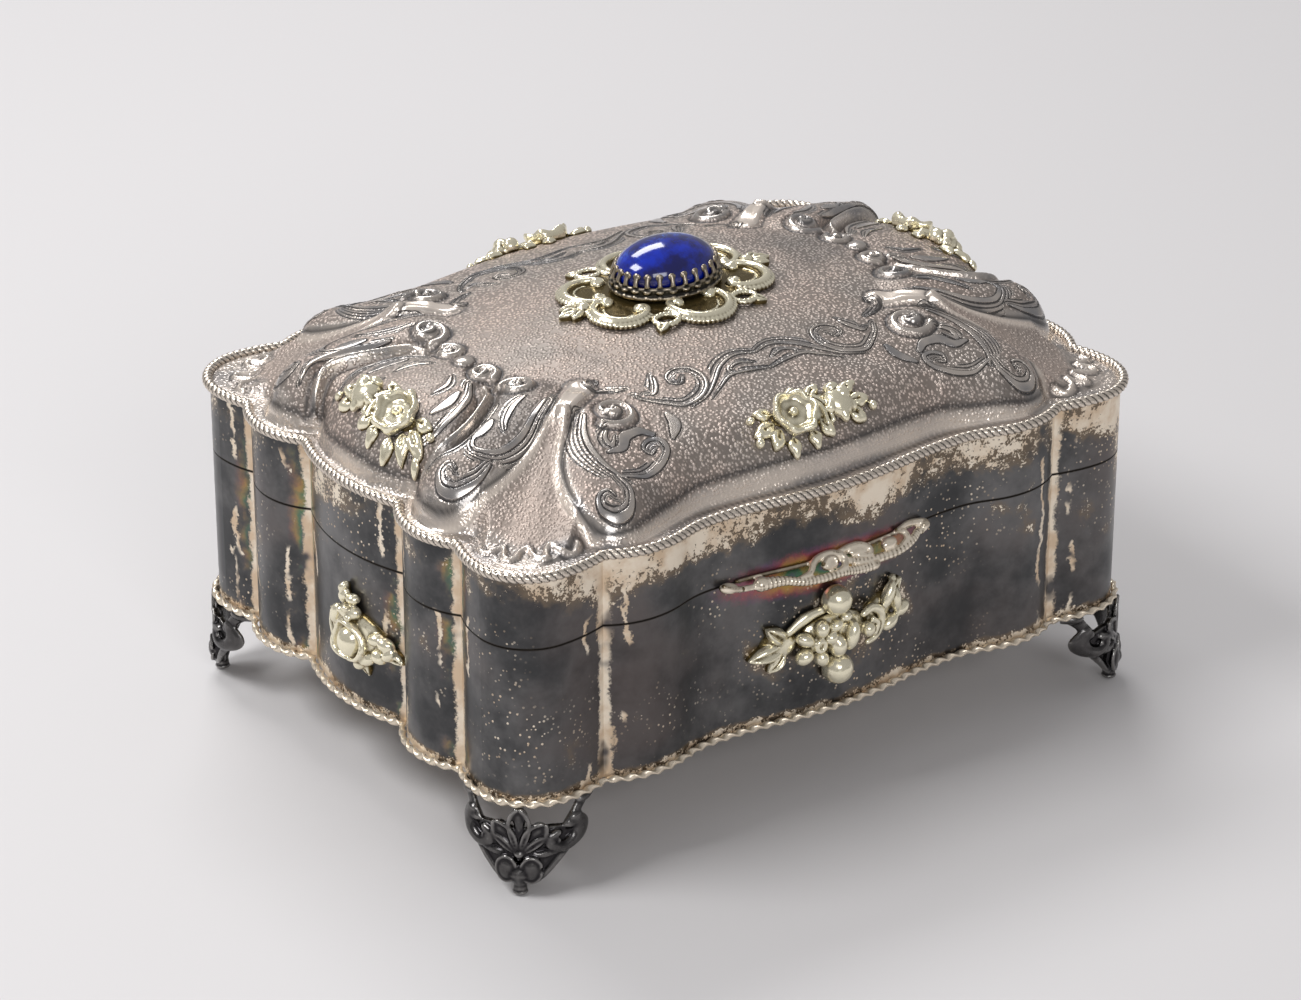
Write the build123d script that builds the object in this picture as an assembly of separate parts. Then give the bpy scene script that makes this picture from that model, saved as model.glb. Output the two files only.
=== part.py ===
from build123d import *
import math
import os

# Silver casket with a serpentine plan, a domed embossed lid and a lapis finial.
# Millimetres, Z up. The origin is on the floor, in the middle of the plan.
# The front long side faces -Y and the hinge is at +Y.

# Levels above the floor
floor_bottom = 17.2
floor_sheet = 0.8
joint_level = 47.8
joint_gap = 0.15
skirt_top = 60.7
dome_rim_top = 61.7
dome_crown = 79.8

# Plan outline of one quarter, as stations of the outer wall face
front_bulge_y = 53.7
front_dip_x = 27.0
front_dip_y = 51.4
end_bulge_x = 41.0
end_bulge_y = 54.0
cusp_front = (49.9, 51.2)
corner_x = 59.6
corner_y = 42.8
corner_radius = 10.0
cusp_side = (67.7, 34.1)
side_bulge = (71.0, 24.8)
cusp_middle = (67.2, 15.4)
side_middle_x = 70.5

# Sheet and wire
wall_sheet = 0.8
dome_sheet = 0.9
dome_edge_inset = 0.6
bezel_sheet = 0.6
bezel_height = 3.0
bezel_depth = 5.0
bezel_clearance = 0.3
rope_radius = 1.0
rope_centre_out = 0.45
rope_centre_z = 61.75
base_wire_radius = 0.75
base_wire_gap = 0.02
wire_cusp_radius = 1.5

# Dome relief, in one quarter of the plan
crown_front_fall = 8.8
crown_side_fall = 7.4
crown_half_x = 64.5
crown_half_y = 47.7
gutter_level = 61.9
gutter_flat = 3.2
gutter_slope = 1.25
ledge_level = 64.0
shoulder_reach = 8.5
wing_shoulder_reach = 6.0
shoulder_power = 0.7
notch = (40.4, 26.6)
rib_foot = (64.6, 15.6)
front_edge = (
    (0, 49.4), (14, 48.4), (27, 47.6), (36, 49.8), (44.5, 51.5),
    (49.6, 48.8), (50.8, 43.4), (48.3, 35.4), (44.3, 30.7), notch,
)
side_wing_edge = (notch, (45.3, 27.1), (55.5, 31.2), (62.2, 31.5), (67.6, 29.0), (69.0, 23.6), (67.4, 18.4), rib_foot)
panel_edge = (rib_foot, (67.2, 9.4), (68.3, 0))
front_wing_ridge = ((36.5, 31.5), (41, 36), (44.4, 41), (45.2, 45.5))
front_wing_half = 9.0
front_wing_lift = 1.5
side_wing_ridge = ((43.5, 18.5), (50, 22), (57, 23.6), (62.4, 23.6))
side_wing_half = 8.0
side_wing_lift = 1.9
tongue_top = (35.0, 22.0)
frill_centre = (62.2, 44.8)
fan_floor = ((-0.3, 79.0), (0.0, 78.0), (0.25, 75.3), (0.5, 70.5), (0.95, 62.2), (1.3, 61.7))
fan_hollow = 0.9
edge_samples = 120
dome_grid_x = 46
dome_grid_y = 36
dome_tolerance = 0.3
outline_samples = 720

# Feet
foot_sheet = 1.8
foot_ball_radius = 1.9
foot_ball_height = 5.2
foot_ball_spread = 1.75
foot_peg_radius = 1.2
foot_curl_spread = 5.2
foot_curl_height = 9.4
foot_curl_radius = 1.9
palmette_radius = 1.3
palmette_turn = 30.0
foot_top = floor_bottom

# Hinge
hinge_length = 30.0
knuckle_radius = 1.6
knuckle_wall_gap = 0.3
pin_radius = 0.6
pin_clearance = 0.05
knuckle_gap = 0.2
knuckle_count = 5
leaf_height = 4.0
leaf_clearance = 0.3
stop_open_angle = 100.0
stop_reach = 1.2
stop_sheet = 1.0

# Ornaments
spray_root = 2.2
spray_ball_radius = 2.95
spray_ball_rise = 6.9
body_spray_x = -3.0
body_spray_y = -5.5
body_spray_z = 33.5
lid_spray_front_y = 43.5
lid_spray_side_x = 58.0
thumb_x = -5.5
thumb_length = 46.0
thumb_reach = 5.2
thumb_sheet = 1.2
thumb_slope = 45.0
thumb_body_clearance = 0.4
frame_base = 80.0
frame_sheet = 0.9
frame_half_x = 18.5
frame_half_y = 13.5
scroll_radius = 0.95
stone_half_x = 10.0
stone_half_y = 7.5
stone_height = 6.4
stone_girdle = 1.0
stone_seat_z = 82.9
collet_sheet = 0.7
collet_top = 85.8
prong_count = 26


def s_curve(start, end):
    """Two equal arcs between two level points of the wall."""
    middle = ((start[0] + end[0]) / 2, (start[1] + end[1]) / 2)
    first = TangentArc(start, middle, tangent=(1, 0))
    second = TangentArc(middle, end, tangent=first % 1)
    return [first, second]


def quarter_outline():
    """The wall's outer line from the front centre round to the side centre."""
    dip = (front_dip_x, front_dip_y)
    bulge = (end_bulge_x, end_bulge_y)
    lobe_top = (corner_x, corner_y + corner_radius)
    lobe_side = (corner_x + corner_radius, corner_y)
    edges = s_curve((0, front_bulge_y), dip)
    edges += s_curve(dip, bulge)
    edges.append(TangentArc(bulge, cusp_front, tangent=(1, 0)))
    edges.append(TangentArc(lobe_top, cusp_front, tangent=(-1, 0)))
    edges.append(TangentArc(lobe_top, lobe_side, tangent=(1, 0)))
    edges.append(TangentArc(lobe_side, cusp_side, tangent=(0, -1)))
    edges.append(ThreePointArc(cusp_side, side_bulge, cusp_middle))
    edges.append(TangentArc((side_middle_x, 0), cusp_middle, tangent=(0, 1)))
    return edges


def plan_face():
    """The whole plan as one face, mirrored from its quarter."""
    quarter = quarter_outline()
    half = quarter + [mirror(edge, about=Plane.YZ) for edge in quarter]
    whole = half + [mirror(edge, about=Plane.XZ) for edge in half]
    return Face(Wire([edge.edge() for edge in whole]))


PLAN = plan_face()


def grown(amount):
    """The plan moved outward, or inward where the amount is negative."""
    if amount == 0:
        return PLAN
    if amount > 0:
        return offset(PLAN, amount, kind=Kind.INTERSECTION).faces()[0]
    return offset(PLAN, amount, kind=Kind.ARC).faces()[0]


def prism(amount, low, high):
    """The grown plan as an upright block between two levels."""
    return extrude(Pos(0, 0, low) * grown(amount), high - low, dir=(0, 0, 1))


def soft_cusp_path(amount, level):
    """The grown outline with its cusps rounded, for a wire to follow."""
    face = grown(amount)
    corners = face.vertices()
    chosen = []
    for x, y in (cusp_front, cusp_side, cusp_middle):
        for sx in (1, -1):
            for sy in (1, -1):
                chosen.append(min(corners, key=lambda v: math.hypot(v.X - sx * x, v.Y - sy * y)))
    rounded = fillet(chosen, wire_cusp_radius)
    return Pos(0, 0, level) * rounded.faces()[0].outer_wire()


def wire_round(amount, level, radius):
    """A round wire bent along the outline."""
    path = soft_cusp_path(amount, level)
    section = Plane(path @ 0, z_dir=path % 0) * Circle(radius)
    return sweep(section, path)


def smooth(low, high, value):
    """A soft step from 0 at low to 1 at high."""
    t = min(1.0, max(0.0, (value - low) / (high - low)))
    return t * t * (3 - 2 * t)


def line_samples(points):
    """Points along a smooth line drawn through a few points."""
    line = Spline(*points)
    return [tuple(line @ (i / edge_samples))[:2] for i in range(edge_samples + 1)]


OUTLINE_SAMPLES = [tuple(PLAN.outer_wire() @ (i / outline_samples))[:2] for i in range(outline_samples)]
RAISED_EDGE = line_samples(front_edge) + line_samples(side_wing_edge) + line_samples(panel_edge)
FRONT_RIDGE = line_samples(front_wing_ridge)
SIDE_RIDGE = line_samples(side_wing_ridge)


def distance_to(x, y, samples):
    """Plan distance from a point to a line of points."""
    return math.sqrt(min((px - x) ** 2 + (py - y) ** 2 for px, py in samples))


def within(x, y, ring):
    """Whether a point lies inside a closed ring of points."""
    inside = False
    for (ax, ay), (bx, by) in zip(ring, ring[1:] + ring[:1]):
        if (ay > y) != (by > y) and x < ax + (y - ay) * (bx - ax) / (by - ay):
            inside = not inside
    return inside


def fan_place(x, y):
    """Share of the way along the corner fan, and distance from its centre line."""
    ax, ay = tongue_top
    bx, by = frill_centre
    length = math.hypot(bx - ax, by - ay)
    ux, uy = (bx - ax) / length, (by - ay) / length
    along = ((x - ax) * ux + (y - ay) * uy) / length
    across = (x - ax) * uy - (y - ay) * ux
    return along, across


def fan_level(x, y):
    """Height of the corner fan's hollow floor."""
    along, across = fan_place(x, y)
    level = fan_floor[-1][1]
    for (a, low), (b, high) in zip(fan_floor, fan_floor[1:]):
        if along < b:
            level = low + (high - low) * max(0.0, (along - a) / (b - a))
            break
    half = 2 + 8 * min(1.0, max(0.0, along))
    return level + fan_hollow * min(1.2, abs(across) / half) ** 2


def swelling(x, y, ridge, half, lift):
    """Rounded lift beside a ridge line."""
    return lift * max(0.0, 1 - (distance_to(x, y, ridge) / half) ** 2) ** 1.2


def dome_height(x, y):
    """Height of the lid's upper face over a point of the plan."""
    x, y = abs(x), abs(y)
    if not within(x, y, OUTLINE_SAMPLES):
        return dome_rim_top
    inset = distance_to(x, y, OUTLINE_SAMPLES)
    gutter = gutter_level + gutter_slope * max(0.0, inset - gutter_flat)
    fan_share = smooth(26, 36, x) * smooth(13, 21, y)
    ground = min(gutter, ledge_level + (fan_level(x, y) - ledge_level) * fan_share)
    if not within(x, y, RAISED_EDGE + [(0, 0)]):
        return ground
    crown = dome_crown - crown_front_fall * (y / crown_half_y) ** 2 - crown_side_fall * (x / crown_half_x) ** 2
    crown += swelling(x, y, FRONT_RIDGE, front_wing_half, front_wing_lift)
    crown += swelling(x, y, SIDE_RIDGE, side_wing_half, side_wing_lift)
    wing_share = smooth(30, 44, x) * smooth(14, 26, y)
    reach = shoulder_reach + (wing_shoulder_reach - shoulder_reach) * wing_share
    depth = min(1.0, distance_to(x, y, RAISED_EDGE) / reach)
    return ground + (crown - ground) * (1 - (1 - depth) ** 2) ** shoulder_power


def dome_face():
    """The lid's upper face as one smooth surface, wider than the plan."""
    half_x = side_bulge[0] + 2
    half_y = end_bulge_y + 2
    xs = [half_x * i / dome_grid_x for i in range(dome_grid_x + 1)]
    ys = [half_y * j / dome_grid_y for j in range(dome_grid_y + 1)]
    quarter = {(i, j): dome_height(x, y) for i, x in enumerate(xs) for j, y in enumerate(ys)}
    rows = []
    for i in range(-dome_grid_x, dome_grid_x + 1):
        x = math.copysign(xs[abs(i)], i)
        rows.append([
            Vector(x, math.copysign(ys[abs(j)], j), quarter[abs(i), abs(j)])
            for j in range(-dome_grid_y, dome_grid_y + 1)
        ])
    return Face.make_surface_from_array_of_points(rows, tol=dome_tolerance, min_deg=3, max_deg=3)


DOME_FACE = dome_face()


def under_dome(depth):
    """Everything up to a depth below the lid's upper face."""
    return Solid.extrude(DOME_FACE, Vector(0, 0, -depth))


def body_wall():
    """The serpentine side wall of the box, bent from sheet."""
    low = floor_bottom + floor_sheet
    return prism(0, low, joint_level) - prism(-wall_sheet, low, joint_level)


def body_floor():
    """The flat floor sheet, soldered under the wall."""
    return prism(0, floor_bottom, floor_bottom + floor_sheet)


def body_bezel():
    """The inner strip that locates the lid: a soldered foot and a free lip."""
    foot_low = joint_level - bezel_depth
    foot_high = joint_level - joint_gap
    lip_out = -wall_sheet - bezel_clearance
    lip_in = lip_out - bezel_sheet
    foot = prism(-wall_sheet, foot_low, foot_high) - prism(lip_in, foot_low, foot_high)
    lip = prism(lip_out, foot_high, joint_level + bezel_height)
    lip -= prism(lip_in, foot_high, joint_level + bezel_height)
    return foot + lip


def base_wire():
    """The wire round the bottom edge of the box."""
    out = base_wire_radius + base_wire_gap
    return wire_round(out, floor_bottom + floor_sheet, base_wire_radius)


def foot_outline():
    """The foot seen from outside its corner: arms, openings and taper."""
    top = foot_top
    half = [
        (0, top), (2.3, top), (3.0, 16.0), (4.6, 14.2), (6.8, 13.2), (8.2, 14.6), (8.7, top),
        (9.9, top), (9.7, 15.2), (8.9, 12.6), (8.8, 10.6), (7.4, 8.2), (4.9, 5.6), (2.9, 3.0), (0, 3.0),
    ]
    left = [(-x, z) for x, z in reversed(half)]
    return Polyline(*(half + left[1:-1]), close=True)


def bead(x, y, z, radius):
    """A round bead."""
    return Pos(x, y, z) * Sphere(radius)


def upright(x, y, low, high, radius):
    """A round upright bar."""
    return Pos(x, y, low) * Cylinder(radius, high - low, align=(Align.CENTER, Align.CENTER, Align.MIN))


def foot_at_origin():
    """One cast foot under a round corner whose axis is the Z axis, facing +X."""
    inner = corner_radius - 0.4
    outer = inner + foot_sheet
    ring = upright(0, 0, 0, foot_top, outer) - upright(0, 0, 0, foot_top, inner)
    facing = Plane(origin=(0, 0, 0), x_dir=(0, 1, 0), z_dir=(1, 0, 0))
    mask = extrude(facing * make_face(foot_outline().edges()), outer + 1)
    face = inner + foot_sheet / 2
    extras = [upright(corner_radius + 0.5, 0, 0, 4.0, foot_peg_radius)]
    for side in (-1, 1):
        extras.append(bead(face + 0.6, side * foot_ball_spread, foot_ball_height, foot_ball_radius))
        extras.append(bead(face - 0.9, side * foot_curl_spread, foot_curl_height, foot_curl_radius))
        rib = Pos(face - 0.1, side * 1.2, 8.6) * Rot(-side * palmette_turn, 0, 0)
        extras.append(rib * upright(0, 0, 0, 6.0, palmette_radius))
    extras.append(upright(face + 0.2, 0, 8.0, foot_top, palmette_radius))
    return (ring & mask) + extras


def foot(sx, sy):
    """The foot moved to one corner."""
    angle = math.degrees(math.atan2(sy, sx))
    return Pos(sx * corner_x, sy * corner_y, 0) * Rot(0, 0, angle) * FOOT


FOOT = foot_at_origin()


def dome_cap(x, y, radius, height):
    """A round petal: a ball's cap of one base radius and height, on the XY plane."""
    ball_radius = (radius ** 2 + height ** 2) / (2 * height)
    low_angle = math.degrees(math.asin((ball_radius - height) / ball_radius))
    return Pos(x, y, height - ball_radius) * Solid.make_sphere(ball_radius, angle1=low_angle)


def leaf_shape(x, y, length, width, turn, lift):
    """A pointed leaf of two arcs, lying on the XY plane."""
    upper = ThreePointArc((-length / 2, 0), (0, width / 2), (length / 2, 0))
    lower = ThreePointArc((length / 2, 0), (0, -width / 2), (-length / 2, 0))
    leaf = extrude(make_face([upper.edge(), lower.edge()]), lift + spray_root)
    return Pos(x, y, -spray_root) * Rot(0, 0, turn) * leaf


def flower(x, y, radius, petals, lift):
    """A ring of round petals about a button, on a disc that reaches down to the wall."""
    shapes = [upright(x, y, -spray_root, 0.2, radius * 0.85), dome_cap(x, y, radius * 0.4, lift)]
    for i in range(petals):
        turn = 2 * math.pi * i / petals
        px = x + radius * 0.6 * math.cos(turn)
        py = y + radius * 0.6 * math.sin(turn)
        shapes.append(dome_cap(px, py, radius * 0.42, lift * 0.75))
    return shapes


def body_spray_flat():
    """The cast flower cluster of the box walls, on the XY plane, Z outward."""
    shapes = flower(-0.6, 0, 4.8, 6, 2.8)
    shapes += flower(-6.6, -0.8, 3.4, 5, 2.2)
    shapes += flower(5.8, 1.2, 3.2, 5, 2.2)
    for y in (spray_ball_rise, -spray_ball_rise):
        shapes.append(bead(0.5, y, spray_ball_radius * 0.5, spray_ball_radius))
    shapes.append(leaf_shape(-12.2, -0.4, 9.0, 5.4, 8, 1.6))
    shapes.append(leaf_shape(11.4, 2.2, 8.4, 5.0, 24, 1.6))
    return shapes[0] + shapes[1:]


def lid_spray_flat():
    """The cast rose and flower of the lid, on the XY plane, Z outward."""
    shapes = flower(-2.6, 0, 4.6, 6, 2.0)
    shapes += flower(4.8, 0.4, 3.8, 5, 2.2)
    for x, y, turn in ((-9.4, -0.6, 10), (-7.6, 3.0, -30), (-7.4, -3.6, 50)):
        shapes.append(leaf_shape(x, y, 6.6, 3.0, turn, 0.9))
    for x, y, turn in ((10.0, 0.6, -8), (8.4, 3.6, 35), (8.0, -3.2, -40), (1.4, -4.6, 80)):
        shapes.append(leaf_shape(x, y, 6.2, 3.0, turn, 0.9))
    return shapes[0] + shapes[1:]


BODY_SPRAY = body_spray_flat()
LID_SPRAY = lid_spray_flat()


def body_spray(origin, x_dir, outward):
    """A body spray seated on the wall's outer face."""
    place = Plane(origin=origin, x_dir=x_dir, z_dir=outward)
    seated = place.location * BODY_SPRAY
    seated -= prism(0, floor_bottom, dome_rim_top)
    return largest(seated)


def largest(shape):
    """The biggest solid of a cut shape, without slivers."""
    return max(shape.solids(), key=lambda solid: solid.volume)


def dome_plane(x, y, x_dir):
    """A plane that touches the dome at a point, with Z outward."""
    step = 2.0
    rise_x = (dome_height(x + step, y) - dome_height(x - step, y)) / (2 * step)
    rise_y = (dome_height(x, y + step) - dome_height(x, y - step)) / (2 * step)
    normal = Vector(-rise_x, -rise_y, 1)
    along = Vector(*x_dir)
    along -= normal * (along.dot(normal) / normal.dot(normal))
    return Plane(origin=(x, y, dome_height(x, y) + 0.3), x_dir=along, z_dir=normal)


def lid_spray(x, y, x_dir):
    """A lid spray seated on the dome."""
    seated = dome_plane(x, y, x_dir).location * LID_SPRAY
    seated -= under_dome(8)
    return largest(seated)


def lid_skirt():
    """The upright edge of the lid, bent from sheet like the wall."""
    low = joint_level + joint_gap
    return prism(0, low, skirt_top) - prism(-wall_sheet, low, skirt_top)


def lid_dome():
    """The embossed top sheet of the lid, resting on the skirt."""
    return under_dome(dome_sheet) & prism(-dome_edge_inset, joint_level, stone_seat_z)


def rope_rim():
    """The rope wire soldered where the dome meets the skirt."""
    return wire_round(rope_centre_out, rope_centre_z, rope_radius)


def thumbpiece():
    """The openwork scroll lip on the lid's front edge."""
    half = thumb_length / 2
    with BuildSketch() as sketch:
        with BuildLine():
            Spline((-half, 0), (-half * 0.6, -1.9), (0, -thumb_reach), (half * 0.55, -3.9), (half, 0))
            Line((half, 0), (half, 1.2))
            Line((half, 1.2), (-half, 1.2))
            Line((-half, 1.2), (-half, 0))
        make_face()
        for x, y, rx, ry in ((-9, -0.7, 4.2, 0.9), (-1.5, -1.6, 2.6, 1.7), (5.5, -1.5, 2.7, 1.6), (12.5, -0.8, 2.6, 0.9)):
            with Locations((x, y)):
                Ellipse(rx, ry, mode=Mode.SUBTRACT)
    slope = math.radians(thumb_slope)
    place = Plane(
        origin=(thumb_x, -front_bulge_y - 0.1, joint_level + 0.6),
        x_dir=(1, 0, 0),
        z_dir=(0, -math.sin(slope), math.cos(slope)),
    )
    lip = extrude(place * sketch.sketch, thumb_sheet)
    lip -= prism(0, joint_level + joint_gap, skirt_top)
    lip -= prism(thumb_body_clearance, floor_bottom, joint_level + joint_gap)
    return largest(lip)


def hinge_axis():
    """The hinge line's place behind the rear wall."""
    return front_bulge_y + knuckle_wall_gap + knuckle_radius, joint_level


def knuckle_spans(moving):
    """Start and end of each knuckle of one leaf along X."""
    pitch = hinge_length / knuckle_count
    spans = []
    for i in range(knuckle_count):
        if (i % 2 == 1) == moving:
            start = -hinge_length / 2 + i * pitch
            spans.append((start + knuckle_gap / 2, start + pitch - knuckle_gap / 2))
    return spans


def bar_x(radius, start, end):
    """A round bar along the hinge line."""
    y, z = hinge_axis()
    return Pos(start, y, z) * Rot(0, 90, 0) * Cylinder(
        radius, end - start, align=(Align.CENTER, Align.CENTER, Align.MIN)
    )


def block(x0, x1, y0, y1, z0, z1):
    """A block between two corners."""
    return Pos((x0 + x1) / 2, (y0 + y1) / 2, (z0 + z1) / 2) * Box(x1 - x0, y1 - y0, z1 - z0)


def hinge_leaf(moving):
    """One leaf of the hinge: a bearer shaped to the wall, with its knuckles."""
    y, z = hinge_axis()
    half = hinge_length / 2
    rear = y - stop_sheet / 2 - 0.1
    if moving:
        low, high = z + joint_gap, z + leaf_height
    else:
        low, high = z - leaf_height, z - joint_gap
    end = half - knuckle_gap / 2
    leaf = block(-end, end, front_dip_y - 1, rear, low, high)
    leaf -= prism(0, low - 1, high + 1)
    for start, end in knuckle_spans(not moving):
        leaf -= bar_x(knuckle_radius + leaf_clearance, start - knuckle_gap, end + knuckle_gap)
    for start, end in knuckle_spans(moving):
        leaf += bar_x(knuckle_radius, start, end)
        if moving:
            leaf += stop_tail(start, end)
    return leaf - bar_x(pin_radius + pin_clearance, -half - 1, half + 1)


def stop_tail(start, end):
    """The tail of a lid knuckle, which meets the box leaf when the lid stands open."""
    y, z = hinge_axis()
    reach = knuckle_radius + stop_reach
    tail = block(start, end, 0, reach, -stop_sheet / 2, stop_sheet / 2)
    return Pos(0, y, z) * Rot(stop_open_angle - 90, 0, 0) * tail


def hinge_pin():
    """The hinge pin with its two peened ends."""
    half = hinge_length / 2
    head = 0.5
    pin = bar_x(pin_radius, -half, half)
    pin += bar_x(pin_radius + 0.4, half - knuckle_gap / 2, half - knuckle_gap / 2 + head)
    pin += bar_x(pin_radius + 0.4, -half + knuckle_gap / 2 - head, -half + knuckle_gap / 2)
    return pin


def curl(x, y, z, radius, start, turn, tube):
    """A C-scroll: a bent tube with a bead at each end, lying level."""
    arc = CenterArc((0, 0), radius, start, turn)
    section = Plane(arc @ 0, z_dir=arc % 0) * Circle(tube)
    place = Pos(x, y, z)
    shapes = [place * sweep(section, arc)]
    for end in (arc @ 0, arc @ 1):
        shapes.append(place * bead(end.X, end.Y, 0.2, tube * 1.35))
    return shapes


def scroll_frame():
    """The cast cartouche of C-scrolls under the stone, with a thin ground that fits the dome."""
    ground = Sketch() + Ellipse(frame_half_x, frame_half_y)
    scrolls = []
    for sy in (-1, 1):
        for sx in (-1, 1):
            turn = math.degrees(math.atan2(sy * 0.62, sx))
            scrolls += curl(sx * 13.2, sy * 4.6, frame_sheet, 5.6, turn - 110, 220, scroll_radius)
            scrolls += curl(sx * 9.2, sy * 12.2, frame_sheet, 2.2, sy * 60 - 150, 300, scroll_radius * 0.75)
            ground += Pos(sx * 13.2, sy * 4.6) * Circle(5.6)
            ground += Pos(sx * 9.2, sy * 12.2) * Circle(2.2)
        scrolls += curl(0, sy * 10.0, frame_sheet, 6.2, sy * 90 - 110, 220, scroll_radius)
        ground += Pos(0, sy * 10.0) * Circle(6.2)
    plate = Pos(0, 0, frame_base - spray_root) * extrude(ground, spray_root + frame_sheet)
    tips = [Pos(sx * 21.0, 0, frame_base) * leaf_shape(0, 0, 6.4, 4.2, 0, frame_sheet + 0.3) for sx in (-1, 1)]
    seated = largest((plate + tips) - under_dome(9))
    pocket_low = frame_base + frame_sheet
    pocket = Ellipse(stone_half_x + collet_sheet + 0.1, stone_half_y + collet_sheet + 0.1)
    cast = seated + [Pos(0, 0, frame_base) * scroll for scroll in scrolls]
    return cast - Pos(0, 0, pocket_low) * extrude(pocket, 10)


def oval_tube(outer_x, outer_y, sheet, low, high):
    """An upright oval tube."""
    ring = Ellipse(outer_x, outer_y) - Ellipse(outer_x - sheet, outer_y - sheet)
    return Pos(0, 0, low) * extrude(ring, high - low)


def stone_collet():
    """The oval setting: a wall with a shelf for the stone and a crown of prongs."""
    low = frame_base + frame_sheet
    half_x = stone_half_x + collet_sheet + 0.05
    half_y = stone_half_y + collet_sheet + 0.05
    wall = oval_tube(half_x, half_y, collet_sheet, low, collet_top)
    shelf = oval_tube(half_x, half_y, collet_sheet + 1.2, low, stone_seat_z)
    collet = wall + shelf
    diamonds = []
    for i in range(prong_count):
        turn = 2 * math.pi * i / prong_count
        x, y = half_x * math.cos(turn), half_y * math.sin(turn)
        outward = Vector(math.cos(turn) / half_x, math.sin(turn) / half_y, 0)
        face = Plane(origin=(x, y, collet_top - 0.9), z_dir=outward, x_dir=(0, 0, 1))
        diamonds.append(extrude(face * Polygon((-1.3, 0), (0, -0.62), (1.6, -0.62), (1.6, 0.62), (0, 0.62)), 1.2, both=True))
    return largest(collet - diamonds)


def lapis_stone():
    """The oval cabochon: a short girdle and a high dome."""
    ratio = (stone_height - stone_girdle) / stone_half_x
    base = Line((0, 0), (stone_half_x, 0))
    side = Line((stone_half_x, 0), (stone_half_x, stone_girdle))
    crown = EllipticalCenterArc((0, stone_girdle), stone_half_x, stone_half_x * ratio)
    axis = Line((0, stone_height), (0, 0))
    profile = make_face(Plane.XZ * Curve([base, side, crown, axis]))
    round_stone = revolve(profile, Axis.Z)
    return Pos(0, 0, stone_seat_z) * scale(round_stone, by=(1, stone_half_y / stone_half_x, 1))


def save(shape, node):
    """Write one sub-part and print what it holds."""
    solids = shape.solids()
    print(node, len(solids), round(sum(solid.volume for solid in solids), 1))
    export_step(shape, f"parts/{node}.step")


def main():
    os.makedirs("parts", exist_ok=True)
    save(body_wall(), "body_wall")
    save(body_floor(), "body_floor")
    save(body_bezel(), "body_bezel")
    save(base_wire(), "base_wire")
    for row, sy in (("front", -1), ("rear", 1)):
        for side, sx in (("left", -1), ("right", 1)):
            save(foot(sx, sy), f"foot_{row}_{side}")
    half_turn = Rot(0, 0, 180)
    wall_front = body_spray((body_spray_x, -front_bulge_y, body_spray_z), (1, 0, 0), (0, -1, 0))
    wall_left = body_spray((-side_middle_x, body_spray_y, body_spray_z), (0, -1, 0), (-1, 0, 0))
    save(wall_front, "body_spray_front")
    save(half_turn * wall_front, "body_spray_rear")
    save(wall_left, "body_spray_left")
    save(half_turn * wall_left, "body_spray_right")
    save(hinge_leaf(False), "hinge_box_leaf")
    save(hinge_pin(), "hinge_pin")
    save(hinge_leaf(True), "hinge_lid_leaf")
    save(lid_skirt(), "lid_skirt")
    save(lid_dome(), "lid_dome")
    save(rope_rim(), "rope_rim")
    save(thumbpiece(), "thumbpiece")
    dome_front = lid_spray(0, -lid_spray_front_y, (1, 0, 0))
    dome_left = lid_spray(-lid_spray_side_x, 0, (0, -1, 0))
    save(dome_front, "lid_spray_front")
    save(half_turn * dome_front, "lid_spray_rear")
    save(dome_left, "lid_spray_left")
    save(half_turn * dome_left, "lid_spray_right")
    save(scroll_frame(), "scroll_frame")
    save(stone_collet(), "stone_collet")
    save(lapis_stone(), "lapis_stone")


main()
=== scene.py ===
"""The silver casket's looks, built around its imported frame."""
import math

import bpy
import numpy as np
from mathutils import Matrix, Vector


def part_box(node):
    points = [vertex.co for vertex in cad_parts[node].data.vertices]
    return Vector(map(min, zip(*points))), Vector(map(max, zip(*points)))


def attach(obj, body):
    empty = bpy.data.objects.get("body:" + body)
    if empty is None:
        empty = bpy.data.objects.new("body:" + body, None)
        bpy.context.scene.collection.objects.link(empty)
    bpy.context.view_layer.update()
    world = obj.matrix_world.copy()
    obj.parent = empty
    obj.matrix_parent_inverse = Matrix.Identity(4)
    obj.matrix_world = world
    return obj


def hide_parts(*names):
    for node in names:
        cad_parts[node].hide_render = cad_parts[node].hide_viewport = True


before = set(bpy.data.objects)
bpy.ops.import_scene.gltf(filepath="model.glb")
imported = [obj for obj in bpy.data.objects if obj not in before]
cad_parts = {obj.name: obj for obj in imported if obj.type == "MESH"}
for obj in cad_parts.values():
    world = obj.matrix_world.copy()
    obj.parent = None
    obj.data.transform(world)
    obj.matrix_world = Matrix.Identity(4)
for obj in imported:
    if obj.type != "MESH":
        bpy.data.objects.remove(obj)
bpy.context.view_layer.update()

# Shapes are in millimetres, and become metres where a mesh is made
MM = 0.001

# Levels above the floor, and the thickness of the lid's sheet
JOINT_LEVEL = 47.8
THUMB_TOP = 48.15
DOME_RIM = 61.7
GUTTER_LEVEL = 61.9
LEDGE_LEVEL = 64.0
CROWN = 79.8
CARTOUCHE_LEVEL = 80.15
DOME_SHEET = 0.8

# Half sizes of the crown, and how far its skin and the cartouche's seat fall over them
CROWN_HALF = (64.5, 47.7)
CROWN_FALL = (7.4, 8.8)
CARTOUCHE_FALL = (7.0, 8.0)

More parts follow.
